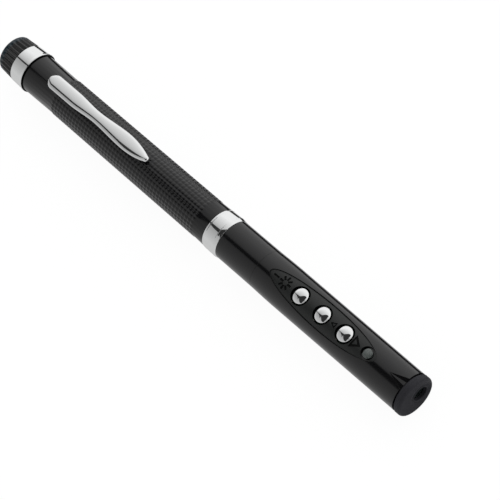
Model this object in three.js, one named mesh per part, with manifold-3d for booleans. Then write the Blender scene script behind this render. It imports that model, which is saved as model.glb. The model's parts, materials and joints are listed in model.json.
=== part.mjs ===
// Pen-shaped wireless presenter with a laser pointer, as its separate pieces.
// Millimetres. +X runs from the tail to the nose, +Z is the side of the buttons and the clip.
// The origin lies half way along the pen, on the surface that it rests on.

import * as THREE from 'three';
import { mergeVertices } from 'three/addons/utils/BufferGeometryUtils.js';
import Module from 'manifold-3d';

const wasm = await Module();
wasm.setup();

// Lengths along the pen, from the tail to the nose
const capLength = 6.3;
const capGap = 0.1;
const tailRingLength = 5.7;
const midRingLength = 5.7;
const sleeveLength = 14.75;
const noseLength = 2.75;

// Outside radii along the pen
const capEndRadius = 6.05;
const capFrontRadius = 6.45;
const upperBackRadius = 6.33;
const upperFrontRadius = 6.5;
const lowerBackRadius = 6.47;
const seamRadius = 6.5;
const swellRadius = 6.66;
const swellAway = 9;
const lowerFrontRadius = 6.53;
const noseRadius = 6.6;
const lipRadius = 6.8;

// Clearances, and the overrun of every cut
const fit = 0.05;
const looseFit = 0.15;
const seatGap = 0.1;
const overrun = 1;

// Facet counts
const barrelFacets = 48;
const innerFacets = 24;
const smallFacets = 16;

// Cells
const cellRadius = 5.25;
const cellLength = 44.5;
const cellEdge = 0.35;
const nubRadius = 1.9;
const nubHeight = 0.9;
const boreRadius = 5.5;
const cellReach = 8.5;

// Tail cap: flutes, rounded rim, threaded plug with its seal groove and spring cup
const fluteCount = 24;
const flutePoints = 4;
const fluteDepth = 0.34;
const rimFillet = 1;
const rimSteps = 3;
const plugRadius = 5.75;
const plugLength = 5;
const plugChamfer = 0.4;
const sealSection = 0.42;
const sealSetback = 1.1;
const sealSides = 6;
const cupRadius = 3.9;
const cupFloor = 1.1;
const springTurns = 5;
const springWire = 0.3;
const springWideRadius = 3.4;
const springNarrowRadius = 2.6;
const springLength = 7.2;
const springStepsPerTurn = 8;
const wireSides = 5;

// Tail ring, flared to a lip at the barrel, with a spigot inside the barrel
const ringEdge = 0.2;
const tailRingBackRadius = 6.5;
const tailRingWaistRadius = 6.68;
const lipLength = 0.5;
const lipRamp = 0.55;
const spigotRadius = 5.8;
const spigotLength = 5;

// Middle ring, crowned towards its lip, over the sleeve that joins the two barrels
const midRingBackRadius = 6.55;
const midRingCrownRadius = 6.74;
const midLipSetback = 0.4;
const midRingBore = 6;
const joinerLength = 14;

// Front end of the cell bore
const contactRadius = 3;
const contactThickness = 0.4;
const contactBlockRadius = 5.35;
const contactBlockLength = 4;
const contactBlockHoleRadius = 1.2;

// Front housing and the leaf-shaped panel that is set into it
const housingBore = 5.3;
const spigotStep = 4;
const panelSetback = 4.3;
const panelPastLamp = 3.2;
const panelWidestShare = 0.5247;
const panelHalfWidth = 4.2;
const panelRecess = 0.45;
const panelUnderside = 4;
const leafSteps = 12;

// Buttons: chrome domes, each held up under the panel by its flange
const buttonCount = 3;
const firstButtonAway = 12.2;
const buttonPitch = 9;
const buttonRadius = 2.5;
const wellRadius = 2.85;
const buttonEdgeHeight = 6;
const domeHeight = 1;
const domeSteps = 5;
const buttonTravel = 0.4;
const flangeRadius = 3;
const flangeThickness = 0.4;
const flangePocketRadius = 3.2;
const flangePocketDepth = 0.9;
const stemRadius = 1;
const stemLength = 0.55;

// Tact switches on the main board
const plungerRadius = 1.1;
const plungerHeight = 0.3;
const switchWidth = 4.2;
const switchHeight = 0.8;
const boardThickness = 1;
const boardHalfWidth = 4.3;
const boardBackGap = 0.4;
const boardFrontReach = 2.4;

// Parts on the board
const chipSize = 4;
const chipHeight = 0.9;
const chipGap = 1.45;
const crystalLength = 3.2;
const crystalWidth = 2.5;
const crystalHeight = 0.8;
const crystalGap = 1.55;
const antennaLength = 2;
const antennaWidth = 7;
const antennaHeight = 1.1;
const antennaPlaceShare = 0.6;

// Lamp: a clear light pipe over a small light-emitting chip
const lampAway = 9.1;
const lampRadius = 1.55;
const lampBezelRadius = 1.9;
const lampBezelDepth = 0.3;
const lampCrown = 0.3;
const lampShoulderShare = 0.7;
const lampBelow = 0.1;
const ledSize = 1.6;
const ledHeight = 0.7;

// Carrier under the board, with two screw posts and the seat of the laser module
const carrierRadius = 5.2;
const carrierWall = 0.55;
const carrierBackAway = 7;
const carrierBoardGap = 1.95;
const carrierSeatGap = 0.3;
const postRadius = 1.5;
const screwRadius = 0.7;
const screwHeadRadius = 1.4;
const screwHeadHeight = 0.7;
const screwReach = 3;

// Laser module, which sits off the pen's axis
const beamY = 1.7;
const beamZ = -0.55;
const laserRadius = 3;
const laserLength = 10.3;
const laserBore = 2.5;
const laserFrontGap = 0.3;
const diodeFlangeLength = 1.2;
const diodeCanRadius = 1.6;
const diodeCanLength = 2.4;
const lensLength = 1.4;
const lensEdge = 0.5;
const lensRingLength = 1.1;
const lensRingBore = 1.5;
const driverLength = 6.5;
const driverHalfWidth = 3.9;
const driverThickness = 0.8;
const driverGap = 0.3;

// Nose cap, its plug, the aperture and the window behind it
const noseLipStep = 0.12;
const noseFillet = 0.85;
const nosePlugRadius = 5.2;
const nosePlugLength = 3;
const apertureRadius = 2.35;
const apertureDepth = 1.2;
const windowThickness = 0.6;

// Dart-shaped recess in the housing, behind the nose cap
const dartLength = 6.05;
const dartHalfWidth = 2.15;
const dartDepth = 0.75;

// Clip: waisted spring leaf with a foot and a peg at its root, a few degrees off the line of the buttons
const clipSetback = 8.95;
const clipLength = 44.3;
const clipRootHalfWidth = 2.4;
const clipNeckHalfWidth = 1.82;
const clipBulgeHalfWidth = 2.5;
const clipTipRadius = 1;
const clipShoulderAway = 11;
const clipNeckAway = 21;
const clipBulgeAway = 34;
const clipThickness = 1.15;
const clipSideHeight = 0.45;
const clipLift = 0.95;
const clipFootLength = 5.4;
const clipFootGap = 0.3;
const clipDipAway = 41.6;
const clipDipGap = 0.2;
const clipTipGap = 0.55;
const clipDipLength = 9;
const clipPegAway = 2.7;
const clipPegRadius = 1;
const clipPegClearance = 0.25;
const clipTurn = 4;
const clipSections = 27;
const clipCrownShares = [
  [1, 0], [1, 0.38], [0.9, 0.62], [0.6, 0.86], [0.2, 0.99],
  [-0.2, 0.99], [-0.6, 0.86], [-0.9, 0.62], [-1, 0.38], [-1, 0],
];

// The upper barrel holds the spring and two cells, of which the front one reaches past it by cellReach.
const springRoom = springLength + 2 * springWire - cupFloor + seatGap;
const cellsRoom = 2 * (cellLength + seatGap);
const upperLength = springRoom + cellsRoom - capGap - tailRingLength - cellReach;

// The panel carries the buttons and the lamp, and is widest part of the way along.
const panelToLamp = firstButtonAway + (buttonCount - 1) * buttonPitch + lampAway;
const panelLength = panelToLamp + panelPastLamp;
const panelTailLength = panelLength * panelWidestShare;
const panelNoseLength = panelLength - panelTailLength;

// The front housing holds the panel down to the lamp, the board's end and the laser module.
const lampReach = panelSetback + panelToLamp;
const laserReach = carrierSeatGap + laserLength + laserFrontGap + windowThickness + fit + apertureDepth;
const housingLength = lampReach + boardFrontReach + carrierBoardGap + laserReach - noseLength;

// Stations along the pen
const totalLength = capLength + capGap + tailRingLength + upperLength + midRingLength
  + sleeveLength + housingLength + noseLength;
const tailEnd = -totalLength / 2;
const capFront = tailEnd + capLength;
const ringBack = capFront + capGap;
const upperBack = ringBack + tailRingLength;
const midBack = upperBack + upperLength;
const sleeveBack = midBack + midRingLength;
const housingBack = sleeveBack + sleeveLength;
const noseBack = housingBack + housingLength;
const noseEnd = noseBack + noseLength;
const panelTail = housingBack + panelSetback;
const panelWidest = panelTail + panelTailLength;
const firstButton = panelTail + firstButtonAway;
const lamp = firstButton + (buttonCount - 1) * buttonPitch + lampAway;
const clipRoot = upperBack + clipSetback;

// Heights above the pen's axis
const flangeTop = panelUnderside + flangePocketDepth - fit;
const stemBottom = flangeTop - flangeThickness - stemLength;
const plungerTop = stemBottom - buttonTravel - seatGap;
const switchTop = plungerTop - plungerHeight;
const boardTop = switchTop - switchHeight;
const boardUnder = boardTop - boardThickness;
const axisHeight = lipRadius * Math.cos(Math.PI / barrelFacets);

// Cells and contacts along the bore
const springFoot = capFront - cupFloor + seatGap;
const rearCell = springFoot + springLength + springWire * 2;
const frontCell = rearCell + cellLength + seatGap;
const contactBack = frontCell + cellLength + seatGap;
const blockBack = contactBack + contactThickness + fit;
const blockFront = blockBack + contactBlockLength;
const boardBack = blockFront + boardBackGap;
const boardFront = lamp + boardFrontReach;
const laserFront = noseEnd - apertureDepth - fit - windowThickness - laserFrontGap;
const laserBack = laserFront - laserLength;
const carrierSeatBack = laserBack - carrierSeatGap;
const carrierSeatFront = noseBack - nosePlugLength - seatGap;

const pen = new THREE.Group();
pen.position.z = axisHeight;

// Turns a three.js geometry into a solid: corners welded, flat slivers left out, faces pointing out.
function solid(geometry) {
  geometry.deleteAttribute('normal');
  geometry.deleteAttribute('uv');
  const merged = mergeVertices(geometry);
  const corners = merged.getAttribute('position').array;
  const index = merged.index.array;
  const triangles = [];
  const [a, b, c] = [new THREE.Vector3(), new THREE.Vector3(), new THREE.Vector3()];
  let volume = 0;
  for (let i = 0; i < index.length; i += 3) {
    const [p, q, r] = [index[i], index[i + 1], index[i + 2]];
    if (p === q || q === r || r === p) continue;
    triangles.push([p, q, r]);
    a.fromArray(corners, p * 3);
    b.fromArray(corners, q * 3);
    c.fromArray(corners, r * 3);
    volume += a.dot(b.cross(c));
  }
  const outward = triangles.map(([p, q, r]) => (volume > 0 ? [p, q, r] : [p, r, q]));
  return new wasm.Manifold(new wasm.Mesh({
    numProp: 3,
    vertProperties: Float32Array.from(corners),
    triVerts: Uint32Array.from(outward.flat()),
  }));
}

// Adds one named piece of the pen.
function addPiece(name, body, material) {
  const mesh = body.getMesh();
  const geometry = new THREE.BufferGeometry();
  geometry.setAttribute('position', new THREE.BufferAttribute(mesh.vertProperties, 3));
  geometry.setIndex(new THREE.BufferAttribute(mesh.triVerts, 1));
  geometry.computeVertexNormals();
  const piece = new THREE.Mesh(geometry, material);
  piece.name = name;
  pen.add(piece);
}

// Revolves a profile of [x, radius] points round the pen's axis, with a flat facet at the bottom.
function turned(profile, facets = barrelFacets) {
  const points = [...profile, profile[0]].map(([x, radius]) => new THREE.Vector2(radius, x));
  const geometry = new THREE.LatheGeometry(points, facets, Math.PI / facets);
  geometry.rotateZ(-Math.PI / 2);
  return solid(geometry);
}

function rod(from, to, radius, facets = barrelFacets) {
  return turned([[from, 0], [from, radius], [to, radius], [to, 0]], facets);
}

function tube(from, to, outer, inner, facets = barrelFacets) {
  return turned([[from, inner], [from, outer], [to, outer], [to, inner]], facets);
}

// Revolves a profile of [z, radius] points round an upright axis at x.
function upright(x, profile, facets = innerFacets) {
  const points = [...profile, profile[0]].map(([z, radius]) => new THREE.Vector2(radius, z));
  const geometry = new THREE.LatheGeometry(points, facets, Math.PI / facets);
  geometry.rotateX(Math.PI / 2);
  geometry.translate(x, 0, 0);
  return solid(geometry);
}

function post(x, low, high, radius, facets = innerFacets) {
  return upright(x, [[low, 0], [low, radius], [high, radius], [high, 0]], facets);
}

// A box centred across the pen.
function block(from, to, width, low, high) {
  const geometry = new THREE.BoxGeometry(to - from, width, high - low);
  geometry.translate((from + to) / 2, 0, (low + high) / 2);
  return solid(geometry);
}

// An upright prism over an outline of [x, y] points.
function prism(outline, low, high) {
  const shape = new THREE.Shape(outline.map(([x, y]) => new THREE.Vector2(x, y)));
  const geometry = new THREE.ExtrudeGeometry(shape, { depth: high - low, bevelEnabled: false });
  geometry.translate(0, 0, low);
  return solid(geometry);
}

// Skins a row of closed sections, each a list of THREE.Vector3 of the same count, and closes the ends.
function loft(sections) {
  const count = sections[0].length;
  const positions = sections.flat().flatMap((p) => [p.x, p.y, p.z]);
  const index = [];
  for (let s = 0; s + 1 < sections.length; s += 1) {
    for (let i = 0; i < count; i += 1) {
      const here = s * count + i;
      const beside = s * count + (i + 1) % count;
      index.push(here, beside, here + count, beside, beside + count, here + count);
    }
  }
  for (const [start, turn] of [[0, false], [(sections.length - 1) * count, true]]) {
    for (let i = 1; i + 1 < count; i += 1) {
      index.push(start, start + (turn ? i : i + 1), start + (turn ? i + 1 : i));
    }
  }
  const geometry = new THREE.BufferGeometry();
  geometry.setAttribute('position', new THREE.BufferAttribute(new Float32Array(positions), 3));
  geometry.setIndex(index);
  return solid(geometry);
}

function finish(color, roughness, metalness) {
  return new THREE.MeshStandardMaterial({ color, roughness, metalness });
}

const blackLacquer = finish(0x18181a, 0.22, 0);
const blackPlastic = finish(0x1c1c1e, 0.35, 0);
const chrome = finish(0xd8dadc, 0.08, 1);
const springSteel = finish(0xb8b8b4, 0.3, 1);
const brass = finish(0xb58a3e, 0.35, 1);
const cellWrap = finish(0x5c6468, 0.45, 0);
const sealRubber = finish(0x222222, 0.8, 0);
const boardGreen = finish(0x1f5a36, 0.5, 0);
const chipBlack = finish(0x141414, 0.6, 0);
const nickel = finish(0xa8a8a6, 0.3, 1);
const ceramic = finish(0xd9d5c8, 0.7, 0);
const smokedClear = finish(0x8e9492, 0.15, 0);
const clearGlass = finish(0xbcd0cc, 0.05, 0);

// Tail cap

function flutedSection(x, radius, depth) {
  const section = [];
  const steps = fluteCount * flutePoints;
  for (let i = 0; i < steps; i += 1) {
    const turn = (2 * Math.PI * i) / steps;
    const groove = (1 - Math.cos(turn * fluteCount)) / 2;
    const reach = radius - depth * groove;
    section.push(new THREE.Vector3(x, reach * Math.cos(turn), reach * Math.sin(turn)));
  }
  return section;
}

function tailCap() {
  const sections = [flutedSection(capFront, capFrontRadius, fluteDepth)];
  for (let i = 0; i <= rimSteps; i += 1) {
    const turn = (Math.PI / 2) * (i / rimSteps);
    const x = tailEnd + rimFillet * (1 - Math.sin(turn));
    const radius = capEndRadius - rimFillet * (1 - Math.cos(turn));
    sections.splice(1, 0, flutedSection(x, radius, i === 0 ? fluteDepth : 0));
  }
  const ordered = [sections[0], ...sections.slice(1).reverse()];
  const plugEnd = capFront + capGap + plugLength;
  const grooveBack = capFront + sealSetback;
  const grooveFront = grooveBack + 2 * (sealSection + fit);
  const grooveRadius = plugRadius - 2 * sealSection;
  const plug = turned([
    [capFront - overrun, 0],
    [capFront - overrun, plugRadius],
    [grooveBack, plugRadius],
    [grooveBack, grooveRadius],
    [grooveFront, grooveRadius],
    [grooveFront, plugRadius],
    [plugEnd - plugChamfer, plugRadius],
    [plugEnd, plugRadius - plugChamfer],
    [plugEnd, 0],
  ]);
  const cup = rod(capFront - cupFloor, plugEnd + overrun, cupRadius, innerFacets);
  return loft(ordered).add(plug).subtract(cup);
}

function sealRing() {
  const middle = plugRadius - sealSection;
  const geometry = new THREE.TorusGeometry(middle, sealSection - fit, sealSides, innerFacets);
  geometry.rotateY(Math.PI / 2);
  geometry.translate(capFront + sealSetback + sealSection + fit, 0, 0);
  return solid(geometry);
}

// Conical helix along the pen's axis, wide at the cap.
class SpringLine extends THREE.Curve {
  getPoint(share, target = new THREE.Vector3()) {
    const turn = 2 * Math.PI * springTurns * share;
    const radius = THREE.MathUtils.lerp(springWideRadius, springNarrowRadius, share);
    const x = springFoot + springWire + springLength * share;
    return target.set(x, radius * Math.cos(turn), radius * Math.sin(turn));
  }
}

function cellSpring() {
  const wire = new THREE.Shape();
  for (let i = 0; i < wireSides; i += 1) {
    const turn = (2 * Math.PI * i) / wireSides;
    const place = [springWire * Math.cos(turn), springWire * Math.sin(turn)];
    if (i === 0) wire.moveTo(...place);
    else wire.lineTo(...place);
  }
  return solid(new THREE.ExtrudeGeometry(wire, {
    steps: springTurns * springStepsPerTurn,
    extrudePath: new SpringLine(),
    bevelEnabled: false,
  }));
}

addPiece('tail_cap', tailCap(), blackPlastic);
addPiece('cap_o_ring', sealRing(), sealRubber);
addPiece('battery_spring', cellSpring(), springSteel);

// Tail ring and upper barrel

function tailRing() {
  const lipBack = upperBack - ringEdge - lipLength;
  const plugBore = plugRadius + fit;
  const plugSeat = ringBack + plugLength + looseFit;
  const spigotEnd = upperBack + spigotLength;
  return turned([
    [ringBack, plugBore],
    [ringBack, tailRingBackRadius - ringEdge],
    [ringBack + ringEdge, tailRingBackRadius],
    [lipBack - lipRamp, tailRingWaistRadius],
    [lipBack, lipRadius],
    [upperBack - ringEdge, lipRadius],
    [upperBack, lipRadius - ringEdge],
    [upperBack, spigotRadius],
    [spigotEnd, spigotRadius],
    [spigotEnd, boreRadius],
    [plugSeat, boreRadius],
    [plugSeat, plugBore],
  ]);
}

function upperBarrel() {
  const spigotBore = spigotRadius + fit;
  const spigotSeat = upperBack + spigotLength + looseFit;
  const joinerSeat = midBack - (joinerLength - midRingLength) / 2 - looseFit;
  const shell = turned([
    [upperBack, spigotBore],
    [upperBack, upperBackRadius],
    [midBack, upperFrontRadius],
    [midBack, midRingBore],
    [joinerSeat, midRingBore],
    [joinerSeat, boreRadius],
    [spigotSeat, boreRadius],
    [spigotSeat, spigotBore],
  ]);
  const pegHole = post(clipRoot + clipPegAway, 0, lipRadius, clipPegRadius + clipPegClearance);
  return shell.subtract(pegHole.rotate([-clipTurn, 0, 0]));
}

function cell(back) {
  const front = back + cellLength;
  const shoulder = front - nubHeight;
  return turned([
    [back, 0],
    [back, cellRadius - cellEdge],
    [back + cellEdge, cellRadius],
    [shoulder - cellEdge, cellRadius],
    [shoulder, cellRadius - cellEdge],
    [shoulder, nubRadius],
    [front, nubRadius],
    [front, 0],
  ], innerFacets);
}

addPiece('tail_ring', tailRing(), chrome);
addPiece('upper_barrel', upperBarrel(), blackLacquer);
addPiece('battery_rear', cell(rearCell), cellWrap);
addPiece('battery_front', cell(frontCell), cellWrap);
const contactFront = contactBack + contactThickness;
addPiece('positive_contact', rod(contactBack, contactFront, contactRadius, innerFacets), nickel);

// Clip

function ease(from, to, share) {
  return THREE.MathUtils.lerp(from, to, THREE.MathUtils.smoothstep(share, 0, 1));
}

function clipHalfWidthAt(away) {
  if (away < clipRootHalfWidth) return Math.sqrt(clipRootHalfWidth ** 2 - (clipRootHalfWidth - away) ** 2);
  if (away < clipShoulderAway) return clipRootHalfWidth;
  if (away < clipNeckAway) {
    const share = (away - clipShoulderAway) / (clipNeckAway - clipShoulderAway);
    return ease(clipRootHalfWidth, clipNeckHalfWidth, share);
  }
  if (away < clipBulgeAway) {
    const share = (away - clipNeckAway) / (clipBulgeAway - clipNeckAway);
    return ease(clipNeckHalfWidth, clipBulgeHalfWidth, share);
  }
  const tipStart = clipLength - clipTipRadius;
  if (away > tipStart) return Math.sqrt(clipTipRadius ** 2 - (away - tipStart) ** 2);
  const share = (away - clipBulgeAway) / (tipStart - clipBulgeAway);
  return THREE.MathUtils.lerp(clipBulgeHalfWidth, clipTipRadius, share ** 2);
}

// Gap between the clip's underside and the barrel's crest: level, then down to a touch point, then up.
function clipGapAt(away) {
  if (away < clipDipAway - clipDipLength) return clipLift;
  if (away < clipDipAway) return ease(clipLift, clipDipGap, (away - clipDipAway) / clipDipLength + 1);
  return ease(clipDipGap, clipTipGap, (away - clipDipAway) / (clipLength - clipDipAway));
}

function upperRadiusAt(x) {
  return THREE.MathUtils.mapLinear(x, upperBack, midBack, upperBackRadius, upperFrontRadius);
}

function clip() {
  const sections = [];
  for (let i = 1; i < clipSections; i += 1) {
    const away = (clipLength * (1 - Math.cos((Math.PI * i) / clipSections))) / 2;
    const x = clipRoot + away;
    const under = upperRadiusAt(x) + clipGapAt(away);
    const halfWidth = clipHalfWidthAt(away);
    sections.push(clipCrownShares.map(([across, up]) => (
      new THREE.Vector3(x, across * halfWidth, under + up * clipThickness)
    )));
  }
  const footHeight = upperRadiusAt(clipRoot) + clipFootGap;
  const footTop = upperRadiusAt(clipRoot) + clipLift + clipSideHeight;
  const outline = [];
  for (let i = 0; i <= leafSteps; i += 1) {
    const turn = Math.PI * (0.5 + i / leafSteps);
    const reach = clipRootHalfWidth - seatGap;
    outline.push([clipRoot + clipRootHalfWidth + reach * Math.cos(turn), reach * Math.sin(turn)]);
  }
  const reach = clipRootHalfWidth - seatGap;
  outline.push([clipRoot + clipFootLength, -reach], [clipRoot + clipFootLength, reach]);
  const foot = prism(outline, footHeight, footTop);
  const peg = post(clipRoot + clipPegAway, boreRadius + looseFit, footTop, clipPegRadius, smallFacets);
  return loft(sections).add(foot).add(peg).rotate([-clipTurn, 0, 0]);
}

addPiece('clip', clip(), chrome);

// Middle ring and the sleeve that joins the barrels inside it

function midRing() {
  const lipFront = sleeveBack - midLipSetback;
  const lipBack = lipFront - lipLength;
  return turned([
    [midBack, midRingBore],
    [midBack, midRingBackRadius - ringEdge],
    [midBack + ringEdge, midRingBackRadius],
    [lipBack - lipRamp, midRingCrownRadius],
    [lipBack, lipRadius],
    [lipFront, lipRadius],
    [sleeveBack, lipRadius - midLipSetback / 2],
    [sleeveBack, midRingBore],
  ]);
}

const joinerBack = (midBack + sleeveBack - joinerLength) / 2;
const joinerFront = joinerBack + joinerLength;

addPiece('mid_ring', midRing(), chrome);
addPiece('joint_sleeve', tube(joinerBack, joinerFront, midRingBore - fit, boreRadius), brass);

// Lower barrel: the sleeve up to the seam, then the front housing

const swell = housingBack + swellAway;

function lowerRadiusAt(x) {
  if (x < housingBack) {
    return THREE.MathUtils.mapLinear(x, sleeveBack, housingBack, lowerBackRadius, seamRadius);
  }
  if (x < swell) return THREE.MathUtils.mapLinear(x, housingBack, swell, seamRadius, swellRadius);
  return THREE.MathUtils.mapLinear(x, swell, noseBack, swellRadius, lowerFrontRadius);
}

function lowerSleeve() {
  const joinerSeat = joinerFront + looseFit;
  const housingSpigot = housingBack - spigotStep;
  return turned([
    [sleeveBack, midRingBore],
    [sleeveBack, lowerRadiusAt(sleeveBack)],
    [housingBack, lowerRadiusAt(housingBack)],
    [housingBack, midRingBore],
    [housingSpigot, midRingBore],
    [housingSpigot, boreRadius],
    [joinerSeat, boreRadius],
    [joinerSeat, midRingBore],
  ]);
}

function contactBlock() {
  const body = rod(blockBack, blockFront, contactBlockRadius, innerFacets);
  const hole = rod(blockBack - overrun, blockFront + overrun, contactBlockHoleRadius, smallFacets);
  return body.subtract(hole);
}

// Outline of the leaf-shaped panel: half an ellipse towards the tail and a shorter one towards the nose.
function leafOutline(margin) {
  const outline = [];
  for (let i = 0; i < 4 * leafSteps; i += 1) {
    const turn = (2 * Math.PI * i) / (4 * leafSteps);
    const reach = Math.cos(turn) < 0 ? panelTailLength : panelNoseLength;
    const x = panelWidest + (reach + margin) * Math.cos(turn);
    outline.push([x, (panelHalfWidth + margin) * Math.sin(turn)]);
  }
  return outline;
}

// The lower barrel's outside from one station to another, moved in by a depth.
function lowerCore(from, to, depth) {
  const stations = [from, swell, to].filter((x) => x >= from && x <= to);
  const outside = stations.map((x) => [x, lowerRadiusAt(x) - depth]);
  return turned([[from, 0], ...outside, [to, 0]]);
}

function dart() {
  const apex = noseBack - dartLength;
  const front = noseBack + overrun;
  const spread = dartHalfWidth * ((front - apex) / dartLength);
  const wedge = prism([[apex, 0], [front, -spread], [front, spread]], 0, lipRadius + overrun);
  const slab = new THREE.BoxGeometry(4 * dartLength, 4 * dartHalfWidth, lipRadius);
  slab.translate(0, 0, lipRadius / 2);
  slab.rotateY(Math.atan2(dartDepth, dartLength));
  slab.translate(apex, 0, lowerRadiusAt(apex));
  return wedge.intersect(solid(slab));
}

function frontHousing() {
  const spigotBack = housingBack - spigotStep + looseFit;
  const spigot = tube(spigotBack, housingBack + overrun, midRingBore - fit, housingBore);
  const bore = rod(spigotBack - overrun, noseBack + overrun, housingBore);
  const pocket = prism(leafOutline(0), panelUnderside, lipRadius + overrun);
  return lowerCore(housingBack, noseBack, 0).add(spigot).subtract(bore).subtract(pocket).subtract(dart());
}

const buttonPlaces = Array.from({ length: buttonCount }, (_, i) => firstButton + i * buttonPitch);

function keypadPanel() {
  let body = prism(leafOutline(-seatGap), panelUnderside, lipRadius)
    .intersect(lowerCore(housingBack, noseBack, panelRecess));
  for (const x of buttonPlaces) {
    body = body.subtract(post(x, 0, lipRadius, wellRadius));
    body = body.subtract(post(x, 0, panelUnderside + flangePocketDepth, flangePocketRadius));
  }
  const bezelFloor = lowerRadiusAt(lamp) - panelRecess - lampBezelDepth;
  body = body.subtract(post(lamp, 0, lipRadius, lampRadius + seatGap));
  return body.subtract(post(lamp, bezelFloor, lipRadius, lampBezelRadius));
}

addPiece('lower_sleeve', lowerSleeve(), blackLacquer);
addPiece('contact_block', contactBlock(), blackPlastic);
addPiece('front_housing', frontHousing(), blackLacquer);
addPiece('keypad_panel', keypadPanel(), blackPlastic);

// Buttons and the switches under them

function button(x) {
  const sphere = (buttonRadius ** 2 + domeHeight ** 2) / (2 * domeHeight);
  const spread = Math.asin(buttonRadius / sphere);
  const dome = [];
  for (let i = 0; i <= domeSteps; i += 1) {
    const turn = spread * (1 - i / domeSteps);
    dome.push([buttonEdgeHeight + domeHeight - sphere * (1 - Math.cos(turn)), sphere * Math.sin(turn)]);
  }
  return upright(x, [
    [stemBottom, 0],
    [stemBottom, stemRadius],
    [flangeTop - flangeThickness, stemRadius],
    [flangeTop - flangeThickness, flangeRadius],
    [flangeTop, flangeRadius],
    [flangeTop, buttonRadius],
    ...dome,
  ]);
}

function tactSwitch(x) {
  const half = switchWidth / 2;
  const body = block(x - half, x + half, switchWidth, boardTop, switchTop);
  return body.add(post(x, boardTop, plungerTop, plungerRadius, smallFacets));
}

buttonPlaces.forEach((x, i) => {
  addPiece(`button_${i + 1}`, button(x), chrome);
  addPiece(`tact_switch_${i + 1}`, tactSwitch(x), nickel);
});

// Main board, what stands on it, and the lamp

const screwPlaces = [panelTail, firstButton + (buttonCount - 1.5) * buttonPitch];

function mainBoard() {
  let body = block(boardBack, boardFront, 2 * boardHalfWidth, boardUnder, boardTop);
  for (const x of screwPlaces) {
    const hole = post(x, boardUnder - overrun, boardTop + overrun, screwRadius + looseFit, smallFacets);
    body = body.subtract(hole);
  }
  return body;
}

function lightPipe() {
  const crest = lowerRadiusAt(lamp) - panelRecess + lampCrown / 2;
  return upright(lamp, [
    [boardTop + ledHeight + seatGap, 0],
    [boardTop + ledHeight + seatGap, lampRadius],
    [crest - lampCrown - lampBelow, lampRadius],
    [crest - lampCrown / 3, lampRadius * lampShoulderShare],
    [crest, 0],
  ]);
}

function onBoard(from, length, width, height) {
  return block(from, from + length, width, boardTop, boardTop + height);
}

const [firstScrew] = screwPlaces;
const chipBack = firstScrew - screwHeadRadius - chipGap - chipSize;
const crystalBack = firstScrew + screwHeadRadius + crystalGap;
const antennaMiddle = THREE.MathUtils.lerp(boardBack, chipBack, antennaPlaceShare);

addPiece('main_board', mainBoard(), boardGreen);
addPiece('radio_chip', onBoard(chipBack, chipSize, chipSize, chipHeight), chipBlack);
addPiece('crystal', onBoard(crystalBack, crystalLength, crystalWidth, crystalHeight), nickel);
const antennaBack = antennaMiddle - antennaLength / 2;
addPiece('antenna_chip', onBoard(antennaBack, antennaLength, antennaWidth, antennaHeight), ceramic);
addPiece('status_led', onBoard(lamp - ledSize / 2, ledSize, ledSize, ledHeight), ceramic);
addPiece('led_lens', lightPipe(), smokedClear);

// Carrier under the board, its screws, and the driver board of the laser

function boardCarrier() {
  const back = boardBack + carrierBackAway;
  const seatFront = carrierSeatFront;
  const edge = boardUnder - fit;
  const trough = tube(back, carrierSeatBack + overrun, carrierRadius, carrierRadius - carrierWall)
    .intersect(block(back - overrun, seatFront, 2 * lipRadius, -lipRadius, edge));
  let body = trough.add(rod(carrierSeatBack, seatFront, carrierRadius));
  for (const x of screwPlaces) {
    const pillar = post(x, -lipRadius, edge, postRadius).intersect(rod(back, seatFront, carrierRadius));
    const pilot = post(x, edge - screwReach - seatGap, edge + overrun, screwRadius + fit, smallFacets);
    body = body.add(pillar).subtract(pilot);
  }
  const seat = rod(carrierSeatBack - overrun, seatFront + overrun, laserRadius + fit, innerFacets);
  return body.subtract(seat.translate([0, beamY, beamZ]));
}

function boardScrew(x) {
  const headUnder = boardTop + fit;
  return upright(x, [
    [boardUnder - fit - screwReach, 0],
    [boardUnder - fit - screwReach, screwRadius],
    [headUnder, screwRadius],
    [headUnder, screwHeadRadius],
    [headUnder + screwHeadHeight, screwHeadRadius],
    [headUnder + screwHeadHeight, 0],
  ], smallFacets);
}

function driverBoard() {
  const front = carrierSeatBack - driverGap;
  const low = beamZ - driverThickness / 2;
  return block(front - driverLength, front, 2 * driverHalfWidth, low, low + driverThickness);
}

addPiece('board_carrier', boardCarrier(), blackPlastic);
screwPlaces.forEach((x, i) => addPiece(`board_screw_${i + 1}`, boardScrew(x), nickel));
addPiece('driver_board', driverBoard(), boardGreen);

// Laser module

function onBeam(body) {
  return body.translate([0, beamY, beamZ]);
}

const diodeFront = laserBack + diodeFlangeLength;
const lensRingBack = laserFront - lensRingLength;
const lensFront = lensRingBack - fit;
const lensBack = lensFront - lensLength;
const glassRadius = laserBore - fit;

const diode = turned([
  [laserBack, 0],
  [laserBack, glassRadius],
  [diodeFront, glassRadius],
  [diodeFront, diodeCanRadius],
  [diodeFront + diodeCanLength, diodeCanRadius],
  [diodeFront + diodeCanLength, 0],
], innerFacets);

const lens = turned([
  [lensBack, 0],
  [lensBack + lensEdge / 2, glassRadius],
  [lensFront - lensEdge / 2, glassRadius],
  [lensFront, 0],
], innerFacets);

addPiece('laser_body', onBeam(tube(laserBack, laserFront, laserRadius, laserBore, innerFacets)), brass);
addPiece('laser_diode', onBeam(diode), nickel);
addPiece('collimating_lens', onBeam(lens), clearGlass);
const lensRing = onBeam(tube(lensRingBack, laserFront, glassRadius, lensRingBore, innerFacets));
addPiece('lens_ring', lensRing, blackPlastic);

// Nose cap and the window behind its aperture

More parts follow.
